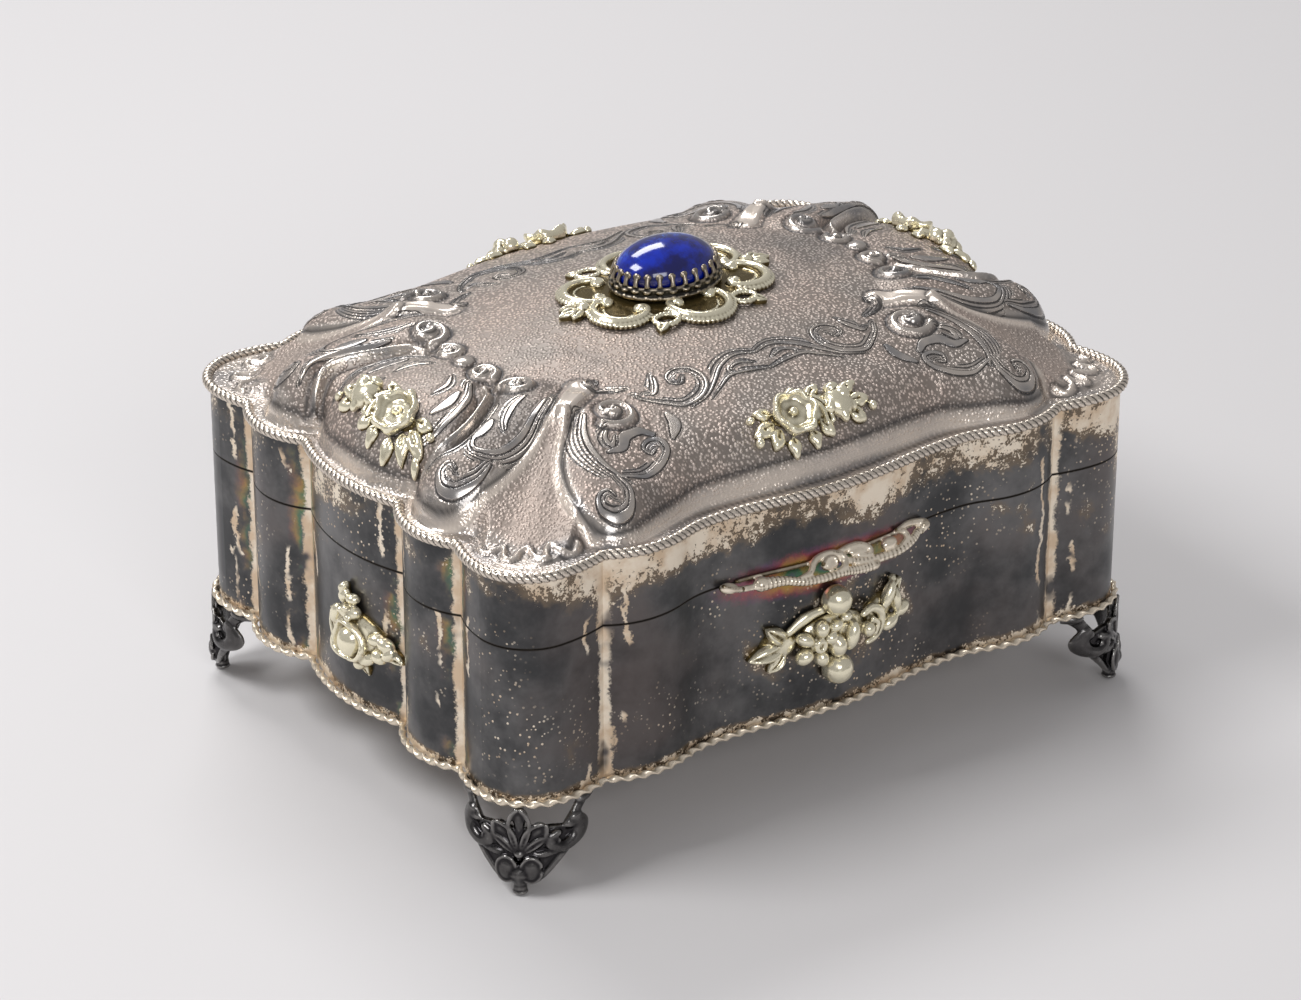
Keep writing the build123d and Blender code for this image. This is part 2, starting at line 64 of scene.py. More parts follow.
# Stations of the outer wall line in one quarter of the plan
FRONT_Y = 53.7
DIP = (27.0, 51.4)
END_BULGE = (41.0, 54.0)
CUSP_FRONT = (49.9, 51.2)
CORNER = (59.6, 42.8)
CORNER_RADIUS = 10.0
CUSP_SIDE = (67.7, 34.1)
SIDE_BULGE = (71.0, 24.8)
CUSP_MIDDLE = (67.2, 15.4)
SIDE_X = 70.5

# Wires
CUSP_SOFTNESS = 0.7
ROPE_RADIUS = 1.0
ROPE_OUT = 0.45
ROPE_Z = 61.75
STRAND_SPACING = 1.3
STRAND_COUNT = 3
BASE_WIRE_OUT = 0.77
BASE_WIRE_Z = 18.0
BASE_WIRE_TWIST = 5.6
BASE_WIRE_WIDE = 0.74
BASE_WIRE_THIN = 0.40


# Lines in the plan

def circle(centre, radius, angles):
    """Points about a centre, at one or more radii."""
    return np.array(centre) + np.asarray(radius)[..., None] * np.stack([np.cos(angles), np.sin(angles)], 1)


ROUND = np.linspace(0, 2 * math.pi, 49)[:-1]


def oval(centre, half_x, half_y, angles=ROUND):
    """Points of an ellipse."""
    return np.stack([centre[0] + half_x * np.cos(angles), centre[1] + half_y * np.sin(angles)], 1)


def arc_points(start, end, tangent, count=40):
    """Points of the arc that leaves start along tangent and ends at end."""
    start, tangent = np.array(start, float), np.array(tangent, float) / np.hypot(*tangent)
    chord = end - start
    normal = np.array([-tangent[1], tangent[0]])
    bend = 2 * normal.dot(chord) / chord.dot(chord)
    centre = start + normal / bend
    turn = 2 * math.atan2(tangent[0] * chord[1] - tangent[1] * chord[0], tangent.dot(chord))
    return circle(centre, abs(1 / bend), math.atan2(*(start - centre)[::-1]) + np.linspace(0, turn, count))


def s_curve(start, end):
    """Two equal arcs between two level points of the wall."""
    middle = (np.array(start) + np.array(end)) / 2
    first = arc_points(start, middle, (1, 0))
    return [first, arc_points(middle, end, first[-1] - first[-2])]


def arc_through(start, middle, end, count=60):
    """Points of the arc through three points."""
    a, b, c = (np.array(p, float) for p in (start, middle, end))
    centre = np.linalg.solve(2 * np.array([b - a, c - a]), [b.dot(b) - a.dot(a), c.dot(c) - a.dot(a)])
    first, last = (math.atan2(*(p - centre)[::-1]) for p in (a, c))
    return circle(centre, np.hypot(*(a - centre)), np.linspace(first, last, count))


def quarter_outline():
    """The outer wall line from the long side's middle round to the short side's middle."""
    lobe_top = (CORNER[0], CORNER[1] + CORNER_RADIUS)
    lobe_side = (CORNER[0] + CORNER_RADIUS, CORNER[1])
    runs = s_curve((0, FRONT_Y), DIP) + s_curve(DIP, END_BULGE)
    runs.append(arc_points(END_BULGE, CUSP_FRONT, (1, 0)))
    runs.append(arc_points(lobe_top, CUSP_FRONT, (-1, 0))[::-1])
    runs.append(arc_points(lobe_top, lobe_side, (1, 0)))
    runs.append(arc_points(lobe_side, CUSP_SIDE, (0, -1)))
    runs.append(arc_through(CUSP_SIDE, SIDE_BULGE, CUSP_MIDDLE))
    runs.append(arc_points((SIDE_X, 0), CUSP_MIDDLE, (0, 1))[::-1])
    return np.concatenate([run[:-1] for run in runs] + [[(SIDE_X, 0)]])


def resample(points, count):
    """Points at even steps along a line."""
    along = np.concatenate([[0], np.cumsum(np.hypot(*np.diff(points, axis=0).T))])
    want = np.linspace(0, along[-1], count)
    return np.stack([np.interp(want, along, column) for column in points.T], 1)


def mirror_round(quarter):
    """A closed ring of rows (x, y and any values) from its quarter, without repeated points."""
    flips = np.ones((2, quarter.shape[1]))
    flips[0, 1] = flips[1, 0] = -1
    half = np.concatenate([quarter, (quarter * flips[0])[::-1][1:]])
    return np.concatenate([half, (half * flips[1])[::-1][1:-1]])


QUARTER = quarter_outline()
OUTLINE = mirror_round(resample(QUARTER, 361))


def soft_line(out, count):
    """The outline with softened cusps, moved outward for a wire, and its outward directions."""
    line = resample(np.concatenate([OUTLINE, OUTLINE[:1]]), count + 1)[:-1]
    pitch = np.hypot(*(line[1] - line[0]))
    reach = int(3 * CUSP_SOFTNESS / pitch)
    weights = np.exp(-0.5 * (np.arange(-reach, reach + 1) * pitch / CUSP_SOFTNESS) ** 2)
    weights /= weights.sum()
    soft = sum(w * np.roll(line, k, axis=0) for w, k in zip(weights, range(-reach, reach + 1)))
    ahead = np.roll(soft, -1, axis=0) - np.roll(soft, 1, axis=0)
    outward = np.stack([-ahead[:, 1], ahead[:, 0]], 1) / np.hypot(*ahead.T)[:, None]
    return soft + out * outward, outward


def curve(points, count=40):
    """A smooth line through a few points."""
    p = np.array(points, float)
    p = np.concatenate([[2 * p[0] - p[1]], p, [2 * p[-1] - p[-2]]])
    t = np.linspace(0, len(points) - 1, count)
    i = np.minimum(t.astype(int), len(points) - 2)
    u = (t - i)[:, None]
    a, b, c, d = p[i], p[i + 1], p[i + 2], p[i + 3]
    cubic = (2 * a - 5 * b + 4 * c - d) * u ** 2 + (3 * b - a - 3 * c + d) * u ** 3
    return 0.5 * (2 * b + (c - a) * u + cubic)


def spiral(centre, start_radius, end_radius, start_angle, turn):
    """A spiral that winds from its start radius to its end radius."""
    t = np.linspace(0, 1, 46)
    radius = start_radius + (end_radius - start_radius) * t ** 0.8
    return circle(centre, radius, np.radians(start_angle + turn * t))


def line_distance(points, line):
    """Distance from each point to a line of points, side of it, and place along it from 0 to 1."""
    starts, steps = line[:-1], np.diff(line, axis=0)
    lengths = np.hypot(*steps.T)
    before = np.concatenate([[0], np.cumsum(lengths)])
    best = np.full(len(points), 1e9)
    side, place = np.zeros((2, len(points)))
    for start, step, length, done in zip(starts, steps, lengths, before):
        if length == 0:
            continue
        rel = points - start
        t = np.clip(rel @ step / length ** 2, 0, 1)
        dist = np.hypot(*(rel - t[:, None] * step).T)
        closer = dist < best
        best[closer] = dist[closer]
        side[closer] = np.sign(rel[:, 0] * step[1] - rel[:, 1] * step[0])[closer]
        place[closer] = (done + t * length)[closer] / before[-1]
    return best, side, place


# Meshes

def new_object(name, data):
    """An object placed in the scene."""
    obj = bpy.data.objects.new(name, data)
    bpy.context.scene.collection.objects.link(obj)
    return obj


def store(mesh, name, values):
    """Keep a value per point on a mesh."""
    layer = mesh.attributes.new(name, "FLOAT", "POINT")
    layer.data.foreach_set("value", np.asarray(values, np.float32))


def fetch(data, key, width, kind=np.float32):
    """Rows of values read from a mesh's points or edges."""
    values = np.empty(len(data) * width, kind)
    data.foreach_get(key, values)
    return values.reshape(-1, width)


def make_mesh(name, points, faces, values=None):
    """A smooth mesh object from points in millimetres, with named values per point."""
    mesh = bpy.data.meshes.new(name)
    mesh.from_pydata((np.asarray(points) * MM).tolist(), [], [list(map(int, face)) for face in faces])
    mesh.polygons.foreach_set("use_smooth", [True] * len(mesh.polygons))
    for key, data in (values or {}).items():
        store(mesh, key, data)
    mesh.update()
    return new_object(name, mesh)


def grid_faces(rows, columns, close_rows=False):
    """Quads of a grid of points that closes on itself along its rows."""
    row, column = np.meshgrid(np.arange(rows if close_rows else rows - 1), np.arange(columns), indexing="ij")
    up, right = (row + 1) % rows, (column + 1) % columns
    corners = (row * columns + column, row * columns + right, up * columns + right, up * columns + column)
    return np.stack(corners, -1).reshape(-1, 4)


def edge_mean(edges, count, for_first, for_second):
    """Mean at each point of what its edges give to their first and their second ends."""
    first, second = edges
    degree = np.bincount(first, minlength=count) + np.bincount(second, minlength=count)
    return (np.bincount(first, for_first, count) + np.bincount(second, for_second, count)) / degree


def neighbour_mean(columns, edges):
    """Mean of each column of values over the neighbours of each point."""
    first, second = edges
    return np.stack([edge_mean(edges, len(v), v[second], v[first]) for v in columns], 1)


def add_cavity(obj, size, rounds=1, shade=0.0):
    """Store how hollow (above 0) or proud (below 0) the surface is at each point, with any added shade."""
    mesh = obj.data
    co = fetch(mesh.vertices, "co", 3) / MM
    edges = fetch(mesh.edges, "vertices", 2, np.int32).T
    lean = ((neighbour_mean(co.T, edges) - co) * fetch(mesh.vertices, "normal", 3)).sum(1)
    squares = ((co[edges[0]] - co[edges[1]]) ** 2).sum(1)
    hollow = lean / edge_mean(edges, len(co), squares, squares) * size
    for _ in range(rounds):
        hollow = 0.5 * hollow + 0.5 * neighbour_mean([hollow], edges)[:, 0]
    store(mesh, "cavity", np.clip(hollow, -1, 1) + shade)


def dress(obj, body, slot, material, *nodes):
    """Give a piece its body, its material and the frame nodes it stands for; its slot is not used."""
    obj.data.materials.clear()
    obj.data.materials.append(material)
    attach(obj, body)
    if nodes:
        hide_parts(*nodes)


def set_nodes(names, material):
    """Give frame nodes that stay visible their finish."""
    for name in names:
        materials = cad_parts[name].data.materials
        materials.clear()
        materials.append(material)


# Main form of the lid, in one quarter of the plan

TONGUE = (35.0, 22.0)
FRILL = (62.2, 44.8)
FAN_FLOOR = (
    (-0.3, 79.0), (0.0, 78.0), (0.12, 76.8), (0.25, 75.3), (0.5, 70.5), (0.75, 65.6), (0.95, 62.2),
    (1.3, 61.7),
)
RAISED_EDGE = (
    (0, 49.4), (9, 48.9), (18, 48.0), (27, 47.6), (34, 49.2), (40, 51.0), (44.5, 51.5), (48.4, 50.2),
    (50.5, 47), (50.8, 43.4), (50.1, 39.6), (48.3, 35.4), (45.8, 32.2), (42.8, 29.4), (40.4, 26.6),
    (42.6, 25.4), (45.3, 27.1), (49.4, 29.4), (55.5, 31.2), (61.9, 31.5), (66.4, 30.1), (68.6, 27.3),
    (69.0, 23.6), (68.0, 19.8), (66.2, 17.2), (64.6, 15.6), (66.4, 12.8), (67.9, 8), (68.3, 0),
)
# Each wing's line, half width and lift
WINGS = (
    (((43.5, 18.5), (50, 22), (57, 23.6), (62.4, 23.6)), 8.0, 1.9),
    (((36.5, 31.5), (41, 36), (44.4, 41), (45.2, 45.5)), 9.0, 1.5),
)


def smooth(low, high, value):
    """A soft step from 0 at low to 1 at high."""
    t = np.clip((value - low) / (high - low), 0, 1)
    return t * t * (3 - 2 * t)


def glow(off, width):
    """A share that is 1 on a line and fades on both sides of it."""
    return np.exp(-(off / width) ** 2)


def edge_inset(points):
    """Plan distance from points inside to the outer wall line."""
    line = resample(QUARTER, 420)
    blocks = [points[i:i + 20000, None] - line[None] for i in range(0, len(points), 20000)]
    return np.concatenate([np.sqrt((rel ** 2).sum(2).min(1)) for rel in blocks])


def in_raised(points, edge):
    """Whether points lie within the raised part of the lid."""
    ring = np.concatenate([edge, [(0, 0)]])
    inside = np.zeros(len(points), bool)
    for a, b in zip(ring, np.roll(ring, -1, axis=0)):
        if a[1] != b[1]:
            crosses = (a[1] > points[:, 1]) != (b[1] > points[:, 1])
            inside ^= crosses & (points[:, 0] < a[0] + (points[:, 1] - a[1]) * (b[0] - a[0]) / (b[1] - a[1]))
    return inside


def fan_place(points):
    """Share of the way along the corner fan, and distance from its centre line."""
    axis = np.array(FRILL) - TONGUE
    length = np.hypot(*axis)
    axis /= length
    rel = points - TONGUE
    return rel @ axis / length, rel[:, 0] * axis[1] - rel[:, 1] * axis[0]


def in_corner(points):
    """Share of a point in the corner that the fan fills."""
    return smooth(26, 36, points[:, 0]) * smooth(13, 21, points[:, 1])


def crown_level(x, y, top, fall):
    """Level of a smooth crown that falls towards the sides."""
    return top - fall[1] * (y / CROWN_HALF[1]) ** 2 - fall[0] * (x / CROWN_HALF[0]) ** 2


def lid_base(points):
    """Height of the lid without its chased ornament, and the places used to finish it."""
    X, Y = points.T
    inset = edge_inset(points)
    edge = curve(RAISED_EDGE, 300)
    dist, _, place = line_distance(points, edge)
    depth = np.where(in_raised(points, edge), dist, -dist)
    crown = crown_level(X, Y, CROWN, CROWN_FALL)
    for line, half, lift in WINGS:
        crown += lift * np.clip(1 - (line_distance(points, curve(line))[0] / half) ** 2, 0, 1) ** 1.2
    crown += 1.2 * np.clip(1 - ((X - 56) / 13) ** 2 - (Y / 15) ** 2, 0, 1)
    along, across = fan_place(points)
    fan = np.interp(along, *zip(*FAN_FLOOR))
    fan += 0.9 * np.clip(np.abs(across) / (2 + 8 * np.clip(along, 0, 1)), 0, 1.2) ** 2
    gutter = GUTTER_LEVEL + 1.25 * np.clip(inset - 3.2, 0, None)
    ground = np.minimum(gutter, LEDGE_LEVEL + (fan - LEDGE_LEVEL) * in_corner(points))
    radius = 8.5 - 2.5 * smooth(30, 44, X) * smooth(14, 26, Y)
    rise = (1 - (1 - np.clip(depth / radius, 0, 1)) ** 2) ** 0.62
    height = np.where(depth > 0, ground + (crown - ground) * rise, ground)
    height = DOME_RIM - 0.1 + (height - DOME_RIM + 0.1) * smooth(0.0, 1.6, inset)
    run = place * np.hypot(*np.diff(edge, axis=0).T).sum()
    return height, depth, inset, along, across, run


# The chased ornament: raised volutes, ribbons with cut edges, and combs of cut lines

RIB_LINE = ((65.8, 16.2), (63.6, 18.2), (60.5, 19.2), (56.5, 18.2), (52, 15.8), (47.6, 12.6), (46, 9.6))
TONGUE_LINE = ((33.4, 20.8), (37.2, 23.6), (41.4, 26.6), (44.2, 29.4))
FRILL_WAVES = (
    (52.6, 48.0), (54.4, 49.2), (56.4, 48.4), (57, 45.8), (58.4, 46.6), (59.6, 48.4), (60.7, 46.8),
    (60.2, 44.0), (61.6, 43.6), (64.0, 45.1), (65.1, 43.8), (63.4, 41.2), (65.2, 41.0), (66.8, 40.2),
    (66.6, 38.4),
)
VOLUTES = (
    spiral((32.6, 29.8), 4.2, 0.9, 30, 560),
    spiral((42.2, 14.0), 3.6, 0.8, -60, -520),
    spiral((43.6, 5.4), 2.6, 0.7, 100, 480),
)
VOLUTE_EYES = (((33.2, 30.4), 1.5), ((42.3, 13.9), 1.2), ((43.6, 5.5), 0.9), ((43.9, 0), 1.9))

# Half width, number of lines cut beside it (to the right of its route, or below 0 to the left) and route
RIBBONS = (
    (0.36, -2, (
        (26.6, 27.6), (25.4, 29.6), (23, 31.9), (20, 33.9), (16.4, 33.4), (13.6, 31.4), (12.6, 28.6),
        (13.6, 25.8),
        (16.2, 24.8), (18.6, 26), (18.8, 28), (17, 28.8), (15.8, 27.6))),
    (0.34, 2, ((0, 27.4), (4, 26.4), (8, 27.9), (11.6, 31.0), (15, 33.6), (19, 34.9))),
    (0.32, 1, ((0, 32.2), (4.6, 31.2), (8.2, 31), (11.6, 32.8), (14.6, 34.6))),
    (0.3, 1, ((2.2, 29.6), (4.8, 28.6), (7, 29.4), (6.6, 30.4))),
    (0.36, 2, ((20.4, 24.6), (21.4, 27), (23, 28.8), (24.6, 28.2))),
    (0.34, 2, (
        (27.0, 25.2), (29.4, 24.4), (31.8, 22.6), (32.2, 20.4), (30.6, 19.6), (29.6, 20.8), (30.4, 21.6))),
    (1.0, 0, ((24.2, 34.2), (24.6, 37), (26.8, 39.6))),
    (0.95, 0, ((29.4, 37.2), (31.6, 35.9), (34.6, 36.3), (36.6, 38.2), (39.4, 38.2))),
    (0.5, -2, (
        (40.4, 43.6), (36.4, 44.6), (32.2, 43.6), (29.2, 41.2), (29.2, 38.8), (31.2, 38.2), (33, 39.4),
        (32.4, 41),
        (31.2, 40.6))),
    (0.55, 4, ((37.8, 28.6), (40.6, 32.6), (41.8, 37), (41.4, 41.6), (39.8, 44.8))),
    (0.5, 2, (
        (41.2, 43.2), (40.8, 46.6), (42.6, 49.2), (45.6, 49.3), (47.4, 47.4), (46.6, 45.4), (44.6, 45.2),
        (44, 46.8))),
    (0.45, 3, ((36.6, 33.6), (38.2, 35.4), (38.0, 37.2), (36.2, 35.4))),
    (0.55, -4, ((40.8, 21.2), (45, 23.6), (50, 26.6), (55, 27.2), (58, 24.8), (57, 22.6), (55, 22.8))),
    (0.5, 2, ((43.4, 18.6), (46.4, 19.6), (49.6, 22), (51.2, 24))),
    (1.0, 0, ((51.8, 20.4), (54, 21.5), (56.6, 22.2))),
    (0.5, 2, ((57.4, 28.6), (61, 29.6), (64.8, 28.8), (66.4, 26.4), (65.2, 24.2), (63, 24.6), (63, 26.4))),
    (0.5, -1, ((48.6, 16.8), (52, 18.6), (56.4, 20.9), (61, 22.2), (65.2, 21))),
    (0.55, 3, ((47.2, 7.2), (49.8, 10.4), (54, 12.7), (59, 14.2), (63, 13.2))),
    (0.9, 0, ((50.6, 8.4), (53.8, 9.8), (57.4, 10.2))),
    (0.45, 2, ((57.6, 6.4), (60.4, 8.6), (63.4, 8.4), (64, 6))),
    (0.45, -1, ((48.6, 3.2), (51, 5.2), (54.4, 5.8))),
)
RIBBON_REACH = 6
VOLUTE_REACH = 3
LINE_SPACING = 0.78
HATCH_SPACING = 1.25
FAR_OFF = 9.0


def near_route(points, route, reach):
    """Which points lie within reach of a route, their distance and side, and their place along it."""
    low, high = route.min(0) - reach, route.max(0) + reach
    close = np.where(((points > low) & (points < high)).all(1))[0]
    return (close, *line_distance(points[close], route))


def chase(points):
    """Height added by the ornament, and the shares and fields that its finish is drawn from."""
    add, polish, line, comb = np.zeros((4, len(points)))
    ribbon, phase = np.full(len(points), FAR_OFF), np.full(len(points), 0.5)
    for half, lines, route in RIBBONS:
        close, dist, side, place = near_route(points, curve(route, 12 * len(route)), RIBBON_REACH)
        swell = np.sin(np.pi * np.clip(place * 0.9 + 0.08, 0, 1))
        off = dist - half * (0.4 + 0.75 * swell)
        nearer = off < ribbon[close]
        ribbon[close] = np.minimum(ribbon[close], off)
        number = off / (LINE_SPACING * (0.45 + 0.55 * swell))
        beside = (side * np.sign(lines) > 0) * (off > 0)
        zone = beside * (1 - smooth(abs(lines) + 0.2, abs(lines) + 0.4, number))
        phase[close] = np.where(nearer, number, phase[close])
        comb[close] = np.where(nearer, zone, comb[close])
    add += 0.14 * (1 - smooth(-0.1, 0.25, ribbon)) - 0.12 * glow(ribbon - 0.3, 0.3)
    for route in VOLUTES:
        close, dist, _, _ = near_route(points, route, VOLUTE_REACH)
        ridge, ditch = glow(dist, 0.62), glow(dist - 1.25, 0.42)
        add[close] += 0.55 * ridge - 0.34 * ditch
        polish[close] = np.maximum(polish[close], np.clip(1.4 * ridge, 0, 1))
        line[close] = np.maximum(line[close], 0.8 * ditch)
    for centre, radius in VOLUTE_EYES:
        dist = np.hypot(*(points - centre).T) / radius
        eye = np.sqrt(np.clip(1 - dist ** 2, 0, 1))
        add += 0.8 * eye * min(1.0, radius)
        polish = np.maximum(polish, smooth(0.0, 0.3, eye))
        line = np.maximum(line, 0.8 * glow(dist - 1.15, 0.2))
    return add, polish, line, ribbon, phase, comb


def rib_shape(points):
    """The double rib between the side wing and the short side's panel."""
    dist, _, place = line_distance(points, curve(RIB_LINE, 60))
    strength = smooth(0.0, 0.08, place) * (1 - 0.5 * smooth(0.85, 1.0, place))
    height = 0.9 * glow(dist, 0.55) - 1.5 * glow(dist - 1.5, 0.85)
    return height * strength, glow(dist, 0.9) * strength, 0.7 * strength * glow(dist - 1.5, 0.5)


def tongue_shape(points):
    """The tongue where the corner fan leaves the crown: its share, its height and the painted shade round its
    outline.
    """
    dist, _, place = line_distance(points, curve(TONGUE_LINE))
    width = 3.1 - 1.3 * place
    ends = 1 - smooth(0.6, 1.0, place)
    tongue = (1 - smooth(width * 0.4, width * 1.05, dist)) * ends
    height = 1.6 * tongue * (0.45 + 0.55 * smooth(0.0, 0.3, place))
    return tongue, height, 0.8 * glow(dist - width * 1.05, 0.35) * ends


def lid_relief(points):
    """Full height of the lid in one quarter, with the shares and fields for its finish."""
    X, Y = points.T
    height, depth, inset, along, across, run = lid_base(points)
    add, polish, line, ribbon, phase, comb = chase(points)
    inner = smooth(0.2, 1.2, depth)
    add, polish, line, comb = (value * inner for value in (add, polish, line, comb))
    ribbon = ribbon + (1 - inner) * FAR_OFF
    rib, rib_shine, rib_shade = rib_shape(points)
    tongue, tongue_height, tongue_shade = tongue_shape(points)
    frill = line_distance(points, curve(FRILL_WAVES, 150))[0]
    ridge = glow(frill, 0.42)
    # The ledge at the foot of the raised part is a double line, polished and with a painted highlight
    ledge = glow(depth + 0.1, 0.55) * smooth(1.6, 2.6, inset)
    fan = (depth < 0.3) * smooth(0.02, 0.12, along) * (1 - smooth(0.9, 0.98, along + 0.012 * np.abs(across)))
    fan *= smooth(39, 42, X) * smooth(24, 27, Y)
    flutes = 0.16 * np.cos(np.arctan2(across, along * 40 + 6) * 30) * smooth(0.3, 0.6, along)
    hatch = (0.35 + 0.65 * np.cos(math.pi * run / HATCH_SPACING) ** 2) * glow(depth + 1.6, 0.65)
    hatch *= 1 - in_corner(points)
    add += rib + 0.8 * ridge + tongue_height + 0.3 * ledge - 0.25 * glow(depth - 1.0, 0.35) + flutes * fan
    add -= 0.1 * hatch
    gutter = (depth < 0.4) * (1 - fan)
    border = smooth(-1.4, -0.4, depth) * (1 - smooth(1.2, 2.4, depth)) * smooth(42, 46, X) * smooth(20, 25, Y)
    border *= 1 - fan
    shine = (rib_shine, ridge, smooth(0.25, 0.6, tongue), 0.55 * gutter, 0.8 * ledge, 0.95 * border)
    # Painted shade in the grooves beside the rib, the frill and the tongue and inside the raised edge, with
    # the hatching's cut lines, all in the line share
    shade = (rib_shade, 0.7 * glow(frill - 0.95, 0.3), tongue_shade, 0.75 * hatch)
    shade += (0.75 * glow(depth - 0.95, 0.3) * smooth(1.2, 2.4, inset),)
    # Painted highlight: a pale tone on the ledge, the frill's ridge and the tongue
    painted_highlight = np.maximum.reduce([ledge, 0.8 * ridge, tongue])
    shares = {"polish": np.maximum.reduce([polish, *shine]), "line": np.maximum.reduce([line, *shade])}
    shares.update({"fan": fan, "painted_highlight": painted_highlight, "ribbon": ribbon, "phase": phase, "comb": comb})
    return height + add, shares


def under_relief(points):
    """Height of the lid's inside."""
    return lid_relief(points)[0] - DOME_SHEET, {}


# The lid's mesh: rings from the edge to the middle, thinned towards the middle

RING_POINTS = 1440
EDGE_INSET = 0.35


def ring_plan(coarser):
    """Share of the way out and number of points of each ring, from the edge inward."""
    fine = [1 - 0.0045 * coarser * i for i in range(118 // coarser)]
    middle = [fine[-1] - 0.008 * (i + 1) for i in range(18)]
    coarse = [middle[-1] - 0.018 * (i + 1) for i in range(12)]
    inner = [coarse[-1] * (1 - (i + 1) / 4) for i in range(3)]
    plan = []
    for shares, fewer in ((fine, 1), (middle, 2), (coarse, 4), (inner, 12)):
        plan += [(share, RING_POINTS // coarser // fewer) for share in shares]
    return plan


def ring_faces(start, number, first, count):
    """Faces between a ring and the next one inward, which has as many points or a share of them."""
    if number == count:
        a = np.arange(count)
        b = (a + 1) % count
        return np.stack([start + a, first + a, first + b, start + b], 1).tolist()
    ratio = number // count
    faces = []
    for k in range(count):
        outer = [start + (k * ratio + j) % number for j in range(ratio + 1)]
        faces.append(outer[::-1] + [first + k, first + (k + 1) % count])
    return faces


def dome_mesh(relief, coarser=1):
    """Points, faces and values of a sheet over the lid's plan with the given relief."""
    most = RING_POINTS // coarser
    edge = resample(QUARTER, most // 4 + 1)
    run = np.gradient(edge, axis=0)
    inward = np.stack([run[:, 1], -run[:, 0]], 1) / np.hypot(*run.T)[:, None]
    edge = edge + inward * EDGE_INSET
    edge[0, 0], edge[-1, 1] = 0, 0
    quarters, faces, first, last = [], [], 0, None
    for share, count in ring_plan(coarser):
        quarters.append(edge[::most // count] * share)
        if last:
            faces += ring_faces(*last, first, count)
        last = (first, count)
        first += count
    faces += [[last[0] + k, first, last[0] + (k + 1) % last[1]] for k in range(last[1])]
    plan = np.concatenate(quarters + [[(0.0, 0.0)]])
    height, shares = relief(plan)
    rows = np.column_stack([plan, height, *shares.values()])
    ends = np.cumsum([len(quarter) for quarter in quarters])
    rings = [mirror_round(quarter) for quarter in np.split(rows, ends)[:-1]]
    rows = np.concatenate(rings + [rows[-1:]])
    return rows[:, :3], faces, dict(zip(shares, rows[:, 3:].T))


# Materials, written as sums on fields

class Field:
    """A value that changes over a surface; sums with it add nodes to its material."""

    def __init__(self, socket):
        self.socket = socket

    def __add__(self, other):
        return maths("ADD", self, other)

    def __sub__(self, other):
        return maths("SUBTRACT", self, other)

    def __rsub__(self, other):
        return maths("SUBTRACT", other, self)

    def __mul__(self, other):
        return maths("MULTIPLY", self, other)

    def __truediv__(self, other):
        return maths("DIVIDE", self, other)

    def __abs__(self):
        return maths("ABSOLUTE", self)


def feed(socket, value):
    """Link a field to a socket, or set the socket to a constant."""
    if isinstance(value, Field):
        socket.id_data.links.new(value.socket, socket)
    else:
        socket.default_value = (*value, 1) if socket.type == "RGBA" else value


def add_node(tree, kind, inputs=None, **settings):
    """A node with its settings and its inputs."""
    node = tree.nodes.new(kind)
    for key, value in settings.items():
        setattr(node, key, value)
    for key, value in (inputs or {}).items():
        feed(node.inputs[key], value)
    return node


def maths(operation, a, b=0.0):
    """The result of one sum on two values, at least one of them a field."""
    tree = (a if isinstance(a, Field) else b).socket.id_data
    return Field(add_node(tree, "ShaderNodeMath", {0: a, 1: b}, operation=operation).outputs[0])


def highest(first, *others):
    """The highest of some fields."""
    for other in others:
        first = maths("MAXIMUM", first, other)
    return first


def clamped(total):
    """A sum kept within 0 and 1."""
    total.socket.node.use_clamp = True
    return total


def span(value, low, high, to_low=0.0, to_high=1.0):
    """A value moved softly from one span to another."""
    inputs = {"Value": value, "From Min": low, "From Max": high, "To Min": to_low, "To Max": to_high}
    node = add_node(value.socket.id_data, "ShaderNodeMapRange", inputs, interpolation_type="SMOOTHSTEP")
    return Field(node.outputs["Result"])


def mix(share, a, b):
    """Two colours mixed."""
    node = add_node(share.socket.id_data, "ShaderNodeMix", data_type="RGBA")
    for index, value in ((0, share), (6, a), (7, b)):
        feed(node.inputs[index], value)
    return Field(node.outputs[2])


def reach_from(a, b, centre, radii=(1.0, 1.0)):
    """Distance from a centre in one plane, in shares of two radii."""
    squares = []
    for value, middle, radius in zip((a, b), centre, radii):
        share = (value - middle) / radius
        squares.append(share * share)
    return maths("SQRT", squares[0] + squares[1])


class Surface:
    """A material and the fields that its look is worked out from."""

    def __init__(self, name):
        self.material = bpy.data.materials.new(name)
        self.material.use_nodes = True
        self.tree = self.material.node_tree
        self.at = self.field("ShaderNodeTexCoord", output="Object")

    def field(self, kind, inputs=None, output=0, **settings):
        """The output of a new node."""
        return Field(add_node(self.tree, kind, inputs, **settings).outputs[output])

    def attribute(self, name):
        """A value stored on the mesh."""
        return self.field("ShaderNodeAttribute", output="Fac", attribute_name=name)

    def noise(self, scale, detail=3.0, rough=0.55, distortion=0.0):
        """A cloudy value about 0.5."""
        inputs = {"Vector": self.at, "Scale": scale, "Detail": detail, "Roughness": rough}
        return self.field("ShaderNodeTexNoise", {**inputs, "Distortion": distortion}, "Fac")

    def cells(self, scale):
        """Distance to the nearest of many scattered points."""
        return self.field("ShaderNodeTexVoronoi", {"Vector": self.at, "Scale": scale}, "Distance")

    def finish(self, inputs, height=None, deep=0.0):
        """Give the shader its inputs and, where a height is given, a bumped normal."""
        shader = self.tree.nodes["Principled BSDF"]
        for key, value in inputs.items():
            feed(shader.inputs[key], value)
        if height is not None:
            bump = {"Height": height, "Distance": deep, "Strength": 1.0}
            feed(shader.inputs["Normal"], self.field("ShaderNodeBump", bump, "Normal"))
        return self.material


